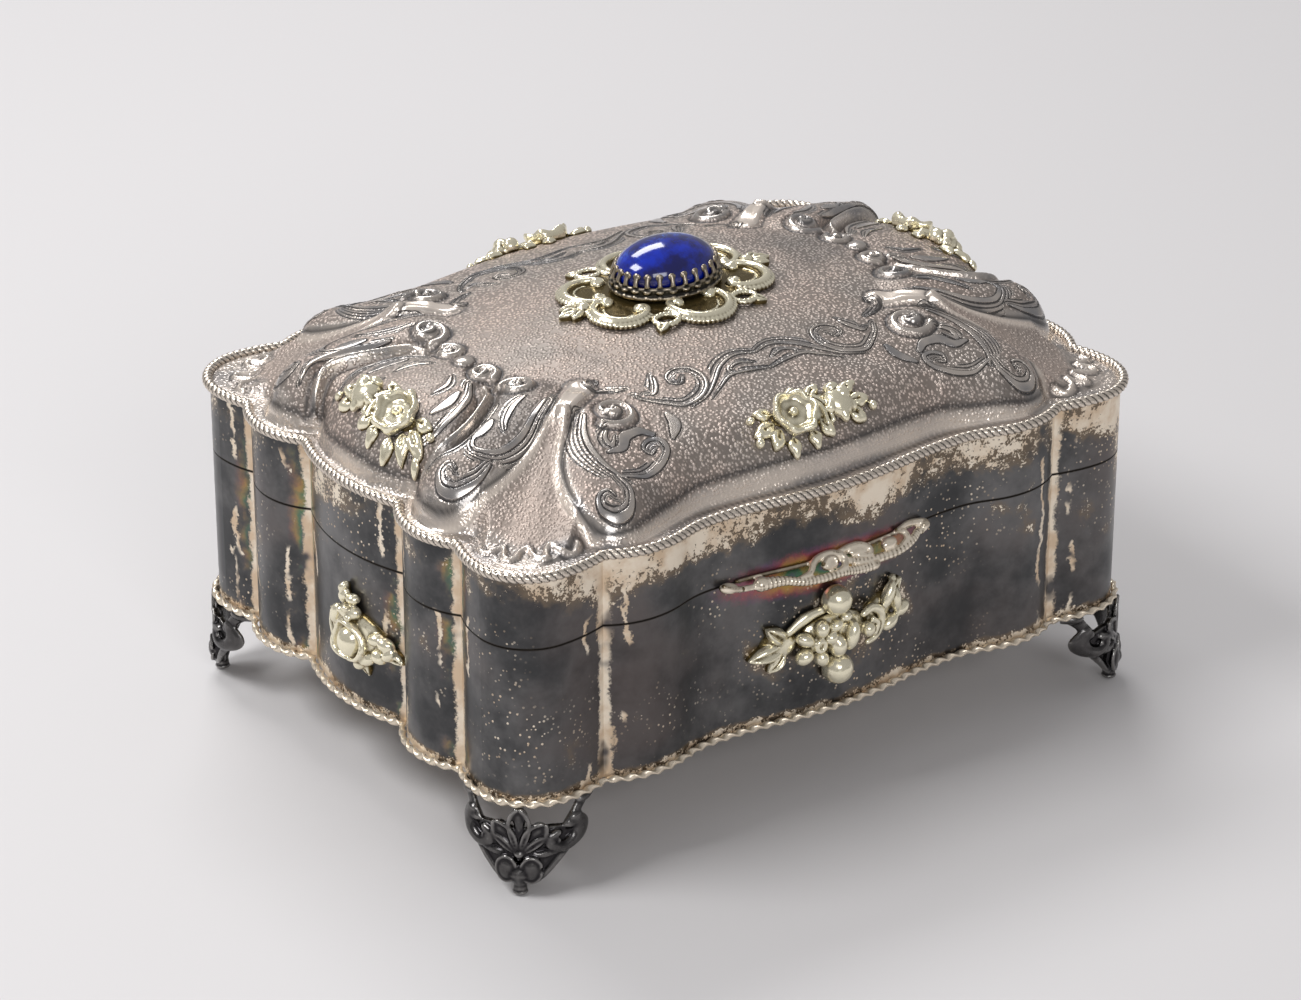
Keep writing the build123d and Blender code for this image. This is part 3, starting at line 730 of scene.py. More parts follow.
def dome_material():
    """Chased silver: stippled ground, polished ribbons, dark cut lines, painted shade in grooves and hollows,
    painted highlights on raised parts.
    """
    look = Surface("embossed_silver")
    names = ("polish", "line", "fan", "painted_highlight", "ribbon", "phase", "comb", "cavity")
    polish, line, fan, painted_highlight, ribbon, phase, comb, cavity = (look.attribute(name) for name in names)
    # Lines cut along the ribbons' edges and beside them
    edge = 1 - span(abs(ribbon), 0.05, 0.19)
    swing = abs(maths("FRACT", phase) - 0.5)
    combed = span(comb, 0.35, 0.65)
    cut = highest(edge, span(swing, 0.22, 0.38) * combed)
    band = 1 - span(ribbon, -0.05, 0.05)
    matte = clamped(1 - highest(polish, band, combed * 0.7))
    # Stippled ground with sooty clouds, and cleaner polished metal
    pit = span(look.cells(1500), 0.16, 0.62)
    warm = mix(span(look.noise(60, 4), 0.35, 0.65), (0.71, 0.58, 0.51), (0.56, 0.495, 0.45))
    warm = mix(span(look.noise(34, 3, 0.6), 0.54, 0.70) * 0.6, warm, (0.19, 0.185, 0.185))
    pitted = mix(pit * span(fan, 0.0, 1.0, 0.72, 0.45), warm, (0.14, 0.12, 0.105))
    clean = mix(span(look.noise(110), 0.4, 0.66), (0.72, 0.65, 0.585), (0.38, 0.37, 0.37))
    colour = mix(matte, clean, pitted)
    colour = mix(fan * 0.6, colour, (0.38, 0.315, 0.275))
    # Painted highlight on the ledge, the frill's ridge and the tongue
    colour = mix(painted_highlight * 0.8, colour, (0.90, 0.79, 0.69))
    # Dark cut lines, with the painted shade that the line share carries
    colour = mix(highest(line, cut * 0.85), colour, (0.04, 0.04, 0.043))
    # Painted shade in the hollows, and a painted highlight on the proud points
    colour = mix(span(cavity, 0.08, 0.5, 0.0, 0.7), colour, (0.07, 0.07, 0.075))
    colour = mix(span(cavity, -0.08, -0.5, 0.0, 0.5), colour, (0.88, 0.81, 0.72))
    # Less metallic under the painted highlight, so that it stays pale
    metallic = span(matte, 0.0, 1.0, 0.9, 0.62) - painted_highlight * 0.3
    relief = pit * matte * -1.0 + look.noise(900, 2) * fan - cut
    inputs = {"Base Color": colour, "Roughness": span(matte, 0.0, 1.0, 0.22, 0.44), "Metallic": metallic}
    return look.finish(inputs, relief, 0.00015)


# Places and colours of the film: straw, magenta, violet and green
FILM_STOPS = (
    (0.0, (0.75, 0.43, 0.07)), (0.3, (0.58, 0.08, 0.11)), (0.55, (0.20, 0.07, 0.26)),
    (0.8, (0.07, 0.27, 0.11)),
)


def film_colour(look, place):
    """Colours of the thin film, from straw to magenta and green and round again."""
    node = add_node(look.tree, "ShaderNodeValToRGB", {"Fac": maths("FRACT", place)})
    stops = node.color_ramp.elements
    for stop, position in zip(stops, (0.0, 1.0)):
        stop.position, stop.color = position, (*FILM_STOPS[0][1], 1)
    for position, tone in FILM_STOPS[1:]:
        stops.new(position).color = (*tone, 1)
    return Field(node.outputs["Color"])


def outer_side(look):
    """Share of a wall's skin that faces away from the casket's middle."""
    level = look.field("ShaderNodeVectorMath", {0: look.at, 1: (1, 1, 0)}, operation="MULTIPLY")
    normal = look.field("ShaderNodeNewGeometry", output="Normal")
    facing = look.field("ShaderNodeVectorMath", {0: level, 1: normal}, "Value", operation="DOT_PRODUCT")
    return span(facing, -0.004, 0.0)


def wall_material():
    """Silver wall sheet: dark tarnish worn to cream in ragged patches along its edges, with painted
    highlights in pale strips beside its cusps.
    """
    look = Surface("tarnished_silver")
    parts = add_node(look.tree, "ShaderNodeSeparateXYZ", {"Vector": look.at})
    x, y, z = (Field(output) for output in parts.outputs)
    front, left = span(y * -1.0, 0.046, 0.052), span(x * -1.0, 0.060, 0.066)
    ax, ay = abs(x), abs(y)
    cusps = [reach_from(ax, ay, (cx * MM, cy * MM)) for cx, cy in (CUSP_FRONT, CUSP_SIDE, CUSP_MIDDLE)]
    cusp = maths("MINIMUM", maths("MINIMUM", cusps[0], cusps[1]), cusps[2])
    wide, wave = look.noise(55, 5, 0.62), look.noise(160, 4, 0.6)
    grain, fine = look.noise(2200, 2, 0.6), look.noise(620, 4, 0.7)
    rough_edge = (grain - 0.5) * 0.30 + (fine - 0.5) * 0.40
    # Painted highlights: pale ragged strips beside each cusp, and a thinner one a little further out
    ragged = cusp + ((wave - 0.5) * 0.0032 + rough_edge * 0.004)
    strip = (1 - span(ragged, 0.0010, 0.0017)) * span(look.noise(75), 0.34, 0.42)
    second = abs(ragged + (wide - 0.5) * 0.010 - 0.0044)
    second = (1 - span(second, 0.0003, 0.0007)) * span(look.noise(95), 0.50, 0.55)
    # Bare patches under the rope, over the base wire and round the front flowers
    high, low = span(z, 0.0500, 0.0590), 1 - span(z, 0.0186, 0.0210)
    flowers = reach_from(x, z, (-0.001, 0.0335), (0.0175, 0.0098))
    halo = (1 - span(flowers, 0.7, 1.35)) * front
    worn = wide * 0.62 + wave * 0.38 + high * (front * 0.10 + 0.13) + low * 0.20 + halo * 0.13
    patch = span(worn + rough_edge, 0.675, 0.70)
    # Fine bare specks scattered in drifts
    drift = clamped(span(look.noise(45), 0.48, 0.66) + halo)
    specks = (1 - span(look.cells(900), 0.16, 0.24)) * drift
    # Worn patches and specks, with the painted highlights beside the cusps
    wear_and_highlight = highest(strip, second, patch, specks)
    seam = 1 - span(abs(z - (JOINT_LEVEL + 0.07) * MM), 0.00012, 0.00035)
    # Tarnish colour, browner where it thins, with a coloured film by the left cusps and round the lip
    dark = mix(span(wide, 0.34, 0.66), (0.052, 0.053, 0.055), (0.165, 0.162, 0.162))
    dark = mix(span(look.noise(28), 0.5, 0.7, 0.0, 0.6), dark, (0.10, 0.078, 0.072))
    dark = mix(span(worn, 0.58, 0.68, 0.0, 0.75), dark, (0.22, 0.165, 0.11))
    lip = reach_from(x, z, (-0.004, 0.0463), (0.026, 0.0052))
    film = look.field("ShaderNodeMix", {0: front, 2: cusp * 150, 3: lip}, data_type="FLOAT") + wave * 1.1
    by_cusp = (1 - span(ragged, 0.0012, 0.0052)) * (left * span(wide, 0.44, 0.56))
    by_lip = (1 - span(lip + rough_edge, 0.5, 1.0)) * front
    dark = mix(highest(by_cusp, by_lip) * 0.5, dark, film_colour(look, film))
    cream = mix(span(wave, 0.36, 0.62), (0.70, 0.54, 0.38), (0.90, 0.80, 0.66))
    # Cream where the tarnish is worn through and in the painted highlights
    colour = mix(seam, mix(wear_and_highlight, dark, cream), (0.03, 0.025, 0.02))
    plain = mix(span(wide, 0.35, 0.65), (0.56, 0.51, 0.45), (0.32, 0.285, 0.26))
    inputs = {"Base Color": mix(outer_side(look), plain, colour)}
    inputs.update({"Roughness": span(wear_and_highlight, 0, 1, 0.30, 0.44), "Metallic": span(wear_and_highlight, 0, 1, 0.85, 0.7)})
    return look.finish(inputs, wear_and_highlight * 0.6 + wide * 0.7, 0.00012)


# Painted highlight tone of the high points, painted shade tone of the recesses, roughness, hollowness where
# the shade tone starts and where it is full, spottiness and metallic share
HIGHLIT_AND_SHADED_METALS = {
    "pale_gilt": ((0.92, 0.86, 0.66), (0.13, 0.095, 0.035), 0.2, -0.08, 0.38, 0.5, 0.78),
    "rope_silver": ((0.74, 0.66, 0.57), (0.05, 0.045, 0.042), 0.28, 0.3, 0.66, 0.3, 0.85),
    "wire_silver": ((0.80, 0.70, 0.56), (0.12, 0.10, 0.08), 0.3, 0.05, 0.35, 0.35, 0.8),
    "lip_silver": ((0.95, 0.85, 0.70), (0.14, 0.10, 0.05), 0.18, 0.02, 0.5, 0.4, 0.6),
    "dark_oxide": ((0.30, 0.29, 0.28), (0.035, 0.033, 0.035), 0.24, -0.45, 0.1, 0.25, 1.0),
    "setting_oxide": ((0.42, 0.36, 0.28), (0.03, 0.028, 0.025), 0.3, -0.35, 0.1, 0.25, 1.0),
}


def highlit_and_shaded_material(name):
    """Cast or drawn metal with a painted highlight tone where it stands out and painted shade in its recesses
    and on its low ground.
    """
    look = Surface(name)
    high, low, rough, start, full, spots, metallic = HIGHLIT_AND_SHADED_METALS[name]
    cloud = look.noise(260, 4, 0.6)
    shade = look.attribute("cavity") + (cloud - 0.5) * spots
    # Painted highlight tone on proud points, painted shade tone in recesses and on the low ground
    inputs = {
        "Base Color": mix(span(shade, start, full), high, low),
        "Roughness": span(cloud, 0.3, 0.7, rough * 0.8, rough * 1.25),
        "Metallic": metallic,
    }
    return look.finish(inputs, look.noise(900), 0.00005)


def plain_silver():
    """Plain worn silver for the sheet and bar pieces."""
    look = Surface("plain_silver")
    cloud = look.noise(70, 5, 0.6)
    inputs = {
        "Base Color": mix(span(cloud, 0.35, 0.7), (0.62, 0.57, 0.50), (0.30, 0.27, 0.25)),
        "Roughness": span(cloud, 0.3, 0.7, 0.26, 0.42),
        "Metallic": 1.0,
    }
    return look.finish(inputs, look.noise(700, 2), 0.00004)


def lapis_material():
    """Polished deep blue stone with faint paler veins."""
    look = Surface("lapis")
    colour = mix(span(look.noise(170, 5, 0.65), 0.38, 0.68), (0.0005, 0.002, 0.085), (0.002, 0.022, 0.40))
    vein = 1 - span(abs(look.noise(260, 4, 0.6, 1.2) - 0.5), 0.0, 0.05)
    patch = span(look.noise(120, 2), 0.5, 0.7)
    inputs = {"Base Color": mix(vein * (patch * 0.7), colour, (0.07, 0.22, 0.85)), "Roughness": 0.12}
    inputs.update({"IOR": 1.5, "Coat Weight": 0.6, "Coat Roughness": 0.03})
    return look.finish(inputs)


# Sheet and wire pieces

def build_dome(material):
    """The embossed lid."""
    obj = make_mesh("lid_top", *dome_mesh(lid_relief))
    add_cavity(obj, 0.6)
    dress(obj, "lid", "embossed_silver", material, "lid_dome")


def build_underside(material):
    """The inside of the embossed lid, where the relief shows in reverse."""
    points, faces, _ = dome_mesh(under_relief, 2)
    obj = make_mesh("lid_inside", points, [face[::-1] for face in faces])
    dress(obj, "lid", "bare_silver", material, "lid_dome")


def wire_places(line):
    """Place along a closed wire and angle round it for each point of its skin, and the wire's length."""
    steps = np.hypot(*(np.roll(line, -1, axis=0) - line).T)
    along = np.concatenate([[0], np.cumsum(steps)])
    return *np.meshgrid(along[:-1], np.linspace(0, 2 * math.pi, 13)[:-1], indexing="ij"), along[-1]


def wire_skin(line, outward, level, side, up):
    """Points and faces of a closed wire from the reach of its skin outward and upward."""
    plan = line[:, None] + outward[:, None] * side[..., None]
    points = np.concatenate([plan, (level + up)[..., None]], 2)
    return points.reshape(-1, 3), grid_faces(*side.shape, True)


def build_rope(material):
    """The rope wire round the lid."""
    line, outward = soft_line(ROPE_OUT, 4800)
    s, th, whole = wire_places(line)
    phase = (STRAND_COUNT * th - 2 * math.pi * s * round(whole / STRAND_SPACING) / whole) / 2
    strand = np.abs(np.cos(phase)) ** 0.6
    radius = ROPE_RADIUS * (0.68 + 0.32 * strand)
    skin = wire_skin(line, outward, ROPE_Z, radius * np.cos(th), radius * np.sin(th))
    # Painted shade in the grooves between the strands, stored as hollowness
    obj = make_mesh("rope_edge", *skin, {"cavity": 1 - strand.ravel()})
    dress(obj, "lid", "bare_silver", material, "rope_rim")


def build_base_wire(material):
    """The flat wire twisted round the bottom edge."""
    line, outward = soft_line(BASE_WIRE_OUT, 1800)
    s, th, whole = wire_places(line)
    twist = 2 * math.pi * s * round(whole / BASE_WIRE_TWIST) / whole
    wide, thin = BASE_WIRE_WIDE * np.cos(th), BASE_WIRE_THIN * np.sin(th)
    side = wide * np.cos(twist) - thin * np.sin(twist)
    up = wide * np.sin(twist) + thin * np.cos(twist)
    obj = make_mesh("twisted_base_wire", *wire_skin(line, outward, BASE_WIRE_Z, side, up))
    add_cavity(obj, 0.3)
    dress(obj, "box", "bare_silver", material, "base_wire")


# Height of the stone's upright girdle
STONE_GIRDLE = 1.0


def build_stone(material):
    """The oval cabochon on its girdle."""
    low, high = (np.array(corner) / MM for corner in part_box("lapis_stone"))
    centre, half = (low + high) / 2, (high - low) / 2
    girdle = low[2] + STONE_GIRDLE
    rise = np.linspace(0, math.pi / 2, 40)[:-1]
    profile = [(0.0, low[2]), (0.97, low[2]), (1.0, low[2] + 0.3)]
    profile += zip(np.cos(rise), girdle + (high[2] - girdle) * np.sin(rise))
    around = np.linspace(0, 2 * math.pi, 97)[:-1]
    rings = [level_line(oval(centre, half[0] * r, half[1] * r, around), z) for r, z in profile]
    faces = grid_faces(len(profile), len(around)).tolist()
    last, top = (len(profile) - 1) * len(around), len(profile) * len(around)
    faces += [(last + k, last + (k + 1) % len(around), top) for k in range(len(around))]
    obj = make_mesh("cabochon", np.concatenate(rings + [[(centre[0], centre[1], high[2])]]), faces)
    dress(obj, "lid", "lapis", material, "lapis_stone")


# Closed shapes in a flat frame, for the cast pieces

def level_line(line, level):
    """A plan line put at one level."""
    return np.column_stack([line, np.full(len(line), level)])


def spread(values, count):
    """Values at even steps between one or more given ones."""
    values = np.atleast_1d(values)
    return np.interp(np.linspace(0, 1, count), np.linspace(0, 1, len(values)), values)


def heading(degrees):
    """A plan direction from its angle."""
    return np.array([math.cos(math.radians(degrees)), math.sin(math.radians(degrees))])


def turned(points, degrees):
    """Points turned about the upward axis."""
    c, s = heading(degrees)
    return np.asarray(points) @ np.array([[c, s, 0], [-s, c, 0], [0, 0, 1]])


def loft(rings):
    """A closed skin over a row of rings of points."""
    rings = np.asarray(rings, float)
    rows, columns = rings.shape[:2]
    points = np.concatenate([rings.reshape(-1, 3), rings[:1].mean(1), rings[-1:].mean(1)])
    faces = grid_faces(rows, columns).tolist()
    last = (rows - 1) * columns
    for k in range(columns):
        ahead = (k + 1) % columns
        faces += [(ahead, k, rows * columns), (last + k, last + ahead, rows * columns + 1)]
    return points, faces


def egg(centre, radii, turn=0.0):
    """A rounded lump with three half sizes."""
    down, around = np.linspace(0.05, math.pi - 0.05, 11), np.linspace(0, 2 * math.pi, 19)[:-1]
    th, ph = np.meshgrid(down, around, indexing="ij")
    unit = np.stack([np.sin(th) * np.cos(ph), np.sin(th) * np.sin(ph), np.cos(th)], -1)
    return loft(turned(unit * np.array(radii), turn) + np.array(centre))


def eggs(*rows):
    """Lumps from rows of centre, half sizes and turn."""
    return [egg(*row) for row in rows]


def tube(line, radius, flat=1.0, sides=12):
    """A bar of changing radius along a line; flat is its height against its width."""
    line = np.asarray(line, float)
    radius = spread(radius, len(line))
    ahead = np.gradient(line, axis=0)
    ahead /= np.linalg.norm(ahead, axis=1)[:, None]
    up = np.array([0, 0, 1.0]) - ahead * ahead[:, 2:]
    up /= np.linalg.norm(up, axis=1)[:, None] + 1e-9
    side = np.cross(ahead, up)
    cap, last = (0.96, 0.8, 0.45), len(line) - 1
    stations = [(0, -share) for share in cap] + [(row, 0) for row in range(len(line))]
    stations += [(last, share) for share in cap[::-1]]
    angle = np.linspace(0, 2 * math.pi, sides + 1)[:-1, None]
    rings = []
    for row, share in stations:
        size = radius[row] * math.sqrt(1 - share ** 2)
        ring = size * (np.cos(angle) * side[row] + flat * np.sin(angle) * up[row])
        rings.append(line[row] + ahead[row] * radius[row] * share + ring)
    return loft(rings)


def bar(points, radius, level, flat, count, reeds=0.0, pitch=0.8):
    """A bar along a smooth plan line at one level, with reeding across it where asked."""
    line = level_line(curve(points, count), level)
    radius = spread(radius, count)
    if reeds:
        length = np.linalg.norm(np.diff(line, axis=0), axis=1).sum()
        radius = radius * (1 + reeds * np.cos(np.linspace(0, 2 * math.pi * length / pitch, count)))
    return tube(line, radius, flat)


ROSE_PROFILE = (
    (0.5, -0.5), (0.78, -0.3), (0.97, 0.3), (1.03, 0.72), (0.97, 1.0), (0.85, 0.98), (0.76, 0.62),
    (0.6, 0.32), (0.3, 0.2), (0.03, 0.18),
)


def rose_cup(centre, radius, height, waves, turn):
    """A cup with a thick wavy rim and a button in its middle."""
    angle = np.linspace(0, 2 * math.pi, 61)[:-1]
    rings = []
    for share, level in ROSE_PROFILE:
        reach = radius * share * (1 + 0.07 * share * np.cos(waves * angle + turn))
        lift = height * level * (1 + 0.16 * share * np.cos(waves * angle + turn + 0.7))
        rings.append(np.column_stack([circle((0, 0), reach, angle), lift]) + np.array(centre))
    button = np.add(centre, (0, 0, height * 0.34))
    return [loft(rings), egg(button, (radius * 0.2, radius * 0.2, height * 0.3))]


def leaf(start, turn, length, width, lift, curl=0.0, root=0.9):
    """A pointed leaf with a groove along its middle."""
    across = np.linspace(-1, 1, 13)
    rings = []
    for t in np.linspace(0, 1, 14):
        half = width / 2 * math.sin(math.pi * t ** 0.8) ** 0.8 + 0.1
        rise = lift * math.sin(math.pi * min(max(t, 0.1), 0.9)) ** 0.5
        top = rise * (np.sqrt(1 - (0.97 * across) ** 2) - 0.5 * glow(across, 0.3)) + curl * t * t
        upper = np.stack([np.full(13, length * t), half * across, top], 1)
        lower = np.stack([np.full(13, length * t), half * across[::-1], np.full(13, -root)], 1)
        rings.append(np.concatenate([upper, lower]))
    points, faces = loft(rings)
    return turned(points, turn) + np.array((*start, 0.0)), faces


def leaves(*rows):
    """Leaves from rows of root, turn, length, width, lift and curl."""
    return [leaf(*row) for row in rows]


def slab(outline, low, high):
    """A flat plate inside a closed plan line."""
    return loft([level_line(outline, z) for z in (low, (low + high) / 2, high)])


# A level below every cast piece's back, and the rounds of softening after a skin is made
NO_LEVEL = -9.0
SOFTENING = 2


def cast(name, shapes, seat, voxel, deepest=NO_LEVEL, ground=NO_LEVEL):
    """Closed shapes joined into one soft skin with a flat back and painted shade on its low ground, bent onto
    its seat.
    """
    starts = np.cumsum([0] + [len(points) for points, _ in shapes])
    faces = [[int(i) + start for i in face] for start, (_, group) in zip(starts, shapes) for face in group]
    rough = make_mesh(name + "_rough", np.concatenate([points for points, _ in shapes]), faces)
    remesh = rough.modifiers.new("skin", "REMESH")
    remesh.mode = "VOXEL"
    remesh.voxel_size = voxel * MM
    mesh = bpy.data.meshes.new_from_object(rough.evaluated_get(bpy.context.evaluated_depsgraph_get()))
    bpy.data.objects.remove(rough)
    obj = new_object(name, mesh)
    co = fetch(mesh.vertices, "co", 3).astype(float) / MM
    edges = fetch(mesh.edges, "vertices", 2, np.int32).T
    for _ in range(SOFTENING):
        co = 0.5 * co + 0.5 * neighbour_mean(co.T, edges)
    co[:, 2] = np.maximum(co[:, 2], deepest)
    mesh.vertices.foreach_set("co", (seat(co) * MM).astype(np.float32).ravel())
    mesh.polygons.foreach_set("use_smooth", [True] * len(mesh.polygons))
    mesh.update()
    # Painted shade on the surface below the ground level, stored with the hollowness
    add_cavity(obj, 0.5, 3, 0.55 * (1 - smooth(ground - 0.2, ground + 0.4, co[:, 2])))
    return obj


# Seats: flat places (along, up, out) put where a cast piece is soldered

FOOT_BEND = 10.6
FOOT_REACH = 10.4
THUMB_OUT = 0.2
LEAN_STEP = 2.5


def wall_reach(place, axis, least):
    """Reach of the long wall (axis 0) or the short wall (axis 1) from the middle, at a place along it."""
    line = QUARTER[np.argsort(QUARTER[:, axis], kind="stable")]
    line = line[line[:, 1 - axis] > least]
    return np.interp(np.abs(place), line[:, axis], line[:, 1 - axis])


def on_front(points):
    """The front wall."""
    u, v, w = points.T
    return np.stack([u, -(wall_reach(u, 0, 49) + w), v], 1)


def on_left(points):
    """The left wall."""
    u, v, w = points.T
    return np.stack([-(wall_reach(u, 1, 66) + w), -u, v], 1)


def on_lip(points):
    """The sloping lip in front of the seam, with the second place down its slope."""
    u, v, w = points.T
    lean = math.sqrt(0.5)
    out = wall_reach(u, 0, 49) + THUMB_OUT + lean * (v + w)
    return np.stack([u, -out, THUMB_TOP - lean * v + lean * w], 1)


def on_crown(points):
    """The middle of the lid, under the cartouche."""
    x, y, w = points.T
    return np.stack([x, y, crown_level(x, y, CARTOUCHE_LEVEL, CARTOUCHE_FALL) + w], 1)


def half_turn(seat):
    """The same seat on the opposite side."""
    return lambda points: seat(points) * (-1, -1, 1)


def on_lid(middle, along):
    """A seat on the lid about a point, with its first direction along the given one."""
    middle, along = np.array(middle, float), np.array(along, float)
    across = np.array([-along[1], along[0]])
    levels = lid_base(np.abs([middle + across * LEAN_STEP, middle - across * LEAN_STEP]))[0]
    slope = (levels[0] - levels[1]) / (2 * LEAN_STEP)
    lean = 1 / math.hypot(1, slope)
    normal = np.array([*(-slope * across), 1]) * lean

    def seat(points):
        u, v, w = points.T
        plan = middle + u[:, None] * along + (v * lean)[:, None] * across
        return np.column_stack([plan, lid_base(np.abs(plan))[0]]) + w[:, None] * normal

    return seat


def on_corner(sx, sy):
    """A seat round a corner's foot."""
    def seat(points):
        u, v, w = points.T
        angle = math.atan2(sy, sx) + np.arcsin(np.clip(u / FOOT_BEND, -0.99, 0.99))
        plan = circle((sx * CORNER[0], sy * CORNER[1]), FOOT_REACH + w, angle)
        return np.column_stack([plan, v])

    return seat


# Ornaments

FOOT_SHIELD = (
    (0, 13.0), (3.5, 13.4), (7.0, 13.0), (8.5, 11.8), (8.3, 10.2), (6.6, 7.8), (4.6, 5.0), (2.8, 3.0),
    (1.4, 2.2), (0, 2.2),
)
FOOT_PEG = ((0, 1.35, 0), (0, 2.0, 0), (0, 3.0, 0.1), (0, 4.6, 0.2))
PALMETTE_ROOT = np.array([0, 8.0])
# Turn, length and width of each lobe of the palmette
PALMETTE = ((90, 9.2, 3.5), (57, 7.4, 3.2), (123, 7.4, 3.2), (27, 6.8, 3.1), (153, 6.8, 3.1))
# Route, radii, level and number of points of the scrolls on each side of a foot
FOOT_SCROLLS = (
    (((8.7, 14.2), (9.2, 12.2), (8.7, 10.2), (6.9, 9.2), (5.3, 9.9), (5.0, 11.3), (6.0, 12.0)),
     (0.8, 1.15, 1.1, 0.75), 0.6, 30),
    (((8.2, 13.0), (9.0, 15.0), (9.9, 16.9)), (1.0, 0.7, 0.75), 0.2, 12),
    (((8.4, 10.0), (6.4, 7.0), (4.2, 4.2), (2.6, 2.8)), (0.75, 0.6, 0.55), 0.35, 16),
    (((5.6, 8.8), (3.6, 8.2), (1.6, 8.7)), (0.9, 0.7, 0.45), 0.6, 12),
)


def palmette_lobe(turn, length, width):
    """A dished leaf with a raised rim."""
    ahead = heading(turn)
    spine = [PALMETTE_ROOT + ahead * far for far in (0.8, length * 0.6, length - 1.3)]
    shapes = [bar(spine, (0.5, 0.95, width * 0.43), 0.25, 0.62, 14)]
    for side in (-1, 1):
        across = np.array([-ahead[1], ahead[0]]) * side * width * 0.5
        t = np.array((0.12, 0.4, 0.66, 0.86, 0.985))[:, None]
        swell = np.sin(math.pi * np.minimum(t, 0.97) ** 1.5) ** 0.7
        rim = PALMETTE_ROOT + ahead * length * t + across * swell
        shapes.append(bar(rim, (0.28, 0.4, 0.42), 0.95, 1.0, 16))
    return shapes


def foot_shapes():
    """A palmette foot: lobes over a tapering shield, scrolled sides, two oval volutes and a peg."""
    right = curve(FOOT_SHIELD, 40)
    outline = np.concatenate([right, (right * (-1, 1))[::-1][1:-1]])
    shapes = [slab(outline, -0.9, 0.35), tube(FOOT_PEG, (1.3, 1.15, 1.5, 2.2))]
    shapes += eggs(((0, 0.62, 0), (1.45, 0.55, 1.45)), ((0, 8.4, 0.9), (0.9, 0.8, 0.8)))
    for lobe in PALMETTE:
        shapes += palmette_lobe(*lobe)
    for side in (-1, 1):
        for route, radii, level, count in FOOT_SCROLLS:
            shapes.append(bar([(side * x, y) for x, y in route], radii, level, 1.0, count))
        volute = (side * 1.95, 5.5)
        shapes += eggs(((side * 9.9, 17.0, 0.5), (0.95, 0.95, 0.95)), ((*volute, 0.6), (1.75, 2.65, 1.6)))
        rim = oval(volute, 1.55, 2.4, np.linspace(0.3, 2 * math.pi - 0.3, 22))
        shapes.append(bar(rim, 0.36, 1.5, 1.0, 40))
    return shapes


def front_spray_shapes():
    """The flower cluster of the long walls: two balls, a daisy, buds, a scroll and leaves."""
    daisy = (-6.6, 32.4)
    shapes = eggs(
        ((-2.6, 40.1, 1.7), (2.85, 2.85, 2.85)), ((-2.1, 26.3, 1.65), (2.95, 2.95, 2.95)),
        ((-2.6, 33.2, 0.2), (7.4, 4.2, 1.9)), ((-13.5, 33.2, 0.0), (4.0, 3.0, 1.3)),
        ((8.0, 34.2, 0.0), (4.4, 3.2, 1.3), 25), ((-2.7, 31.3, 2.4), (1.65, 2.2, 1.9)),
        ((0.4, 32.4, 2.3), (1.45, 2.9, 1.7), -14), ((-2.8, 35.2, 2.0), (1.5, 1.1, 1.2), 20),
        ((-0.4, 36.2, 1.7), (1.2, 1.0, 1.1)), ((4.2, 32.4, 2.3), (1.35, 1.5, 1.5)),
        ((9.6, 37.0, 1.4), (2.9, 1.25, 1.35), 62), ((11.6, 35.4, 1.4), (2.5, 1.1, 1.35), 95),
        ((13.2, 33.2, 1.4), (1.9, 1.4, 1.35), 20), ((10.2, 31.4, 1.4), (2.1, 1.3, 1.35), 25),
        ((11.2, 39.4, 0.6), (0.9, 0.9, 0.9)),
    )
    petals = ((75, 2.9, 1.7, 1.35), (150, 3.0, 1.9, 1.3), (214, 3.3, 1.8, 1.4), (285, 3.1, 1.6, 1.4))
    for turn, far, long, wide in (*petals, (15, 2.7, 1.5, 1.3)):
        shapes.append(egg((*(daisy + far * heading(turn)), 1.9), (long, wide, 1.5), turn))
    shapes.append(bar(oval(daisy, 0.85, 0.95, np.linspace(0, 6.1, 16)), 0.5, 2.9, 1.0, 24))
    scroll = ((3.4, 35.6), (5.4, 36.2), (7.4, 34.6), (7.5, 32.2), (6.2, 30.2), (4.4, 29.6))
    shapes.append(bar(scroll, (0.7, 0.95, 0.8, 0.6), 2.0, 0.9, 26))
    shapes.append(bar(((5.2, 34.2), (6.4, 32.9), (5.8, 31.2)), 0.5, 2.5, 1.0, 14))
    shapes.append(bar(((-11.6, 35.6), (-8.4, 37.6), (-4.6, 38.4)), (0.8, 1.1, 0.8), 0.7, 0.8, 18))
    return shapes + leaves(
        ((9.0, 34.6), 48, 6.2, 3.0, 1.6, 0.9), ((-12.2, 33.8), 140, 5.4, 3.2, 2.3, 0.6),
        ((-12.4, 32.8), 188, 7.6, 3.6, 2.3, 0.4), ((-12.4, 31.8), 224, 4.8, 3.0, 2.1, 0.4),
    )


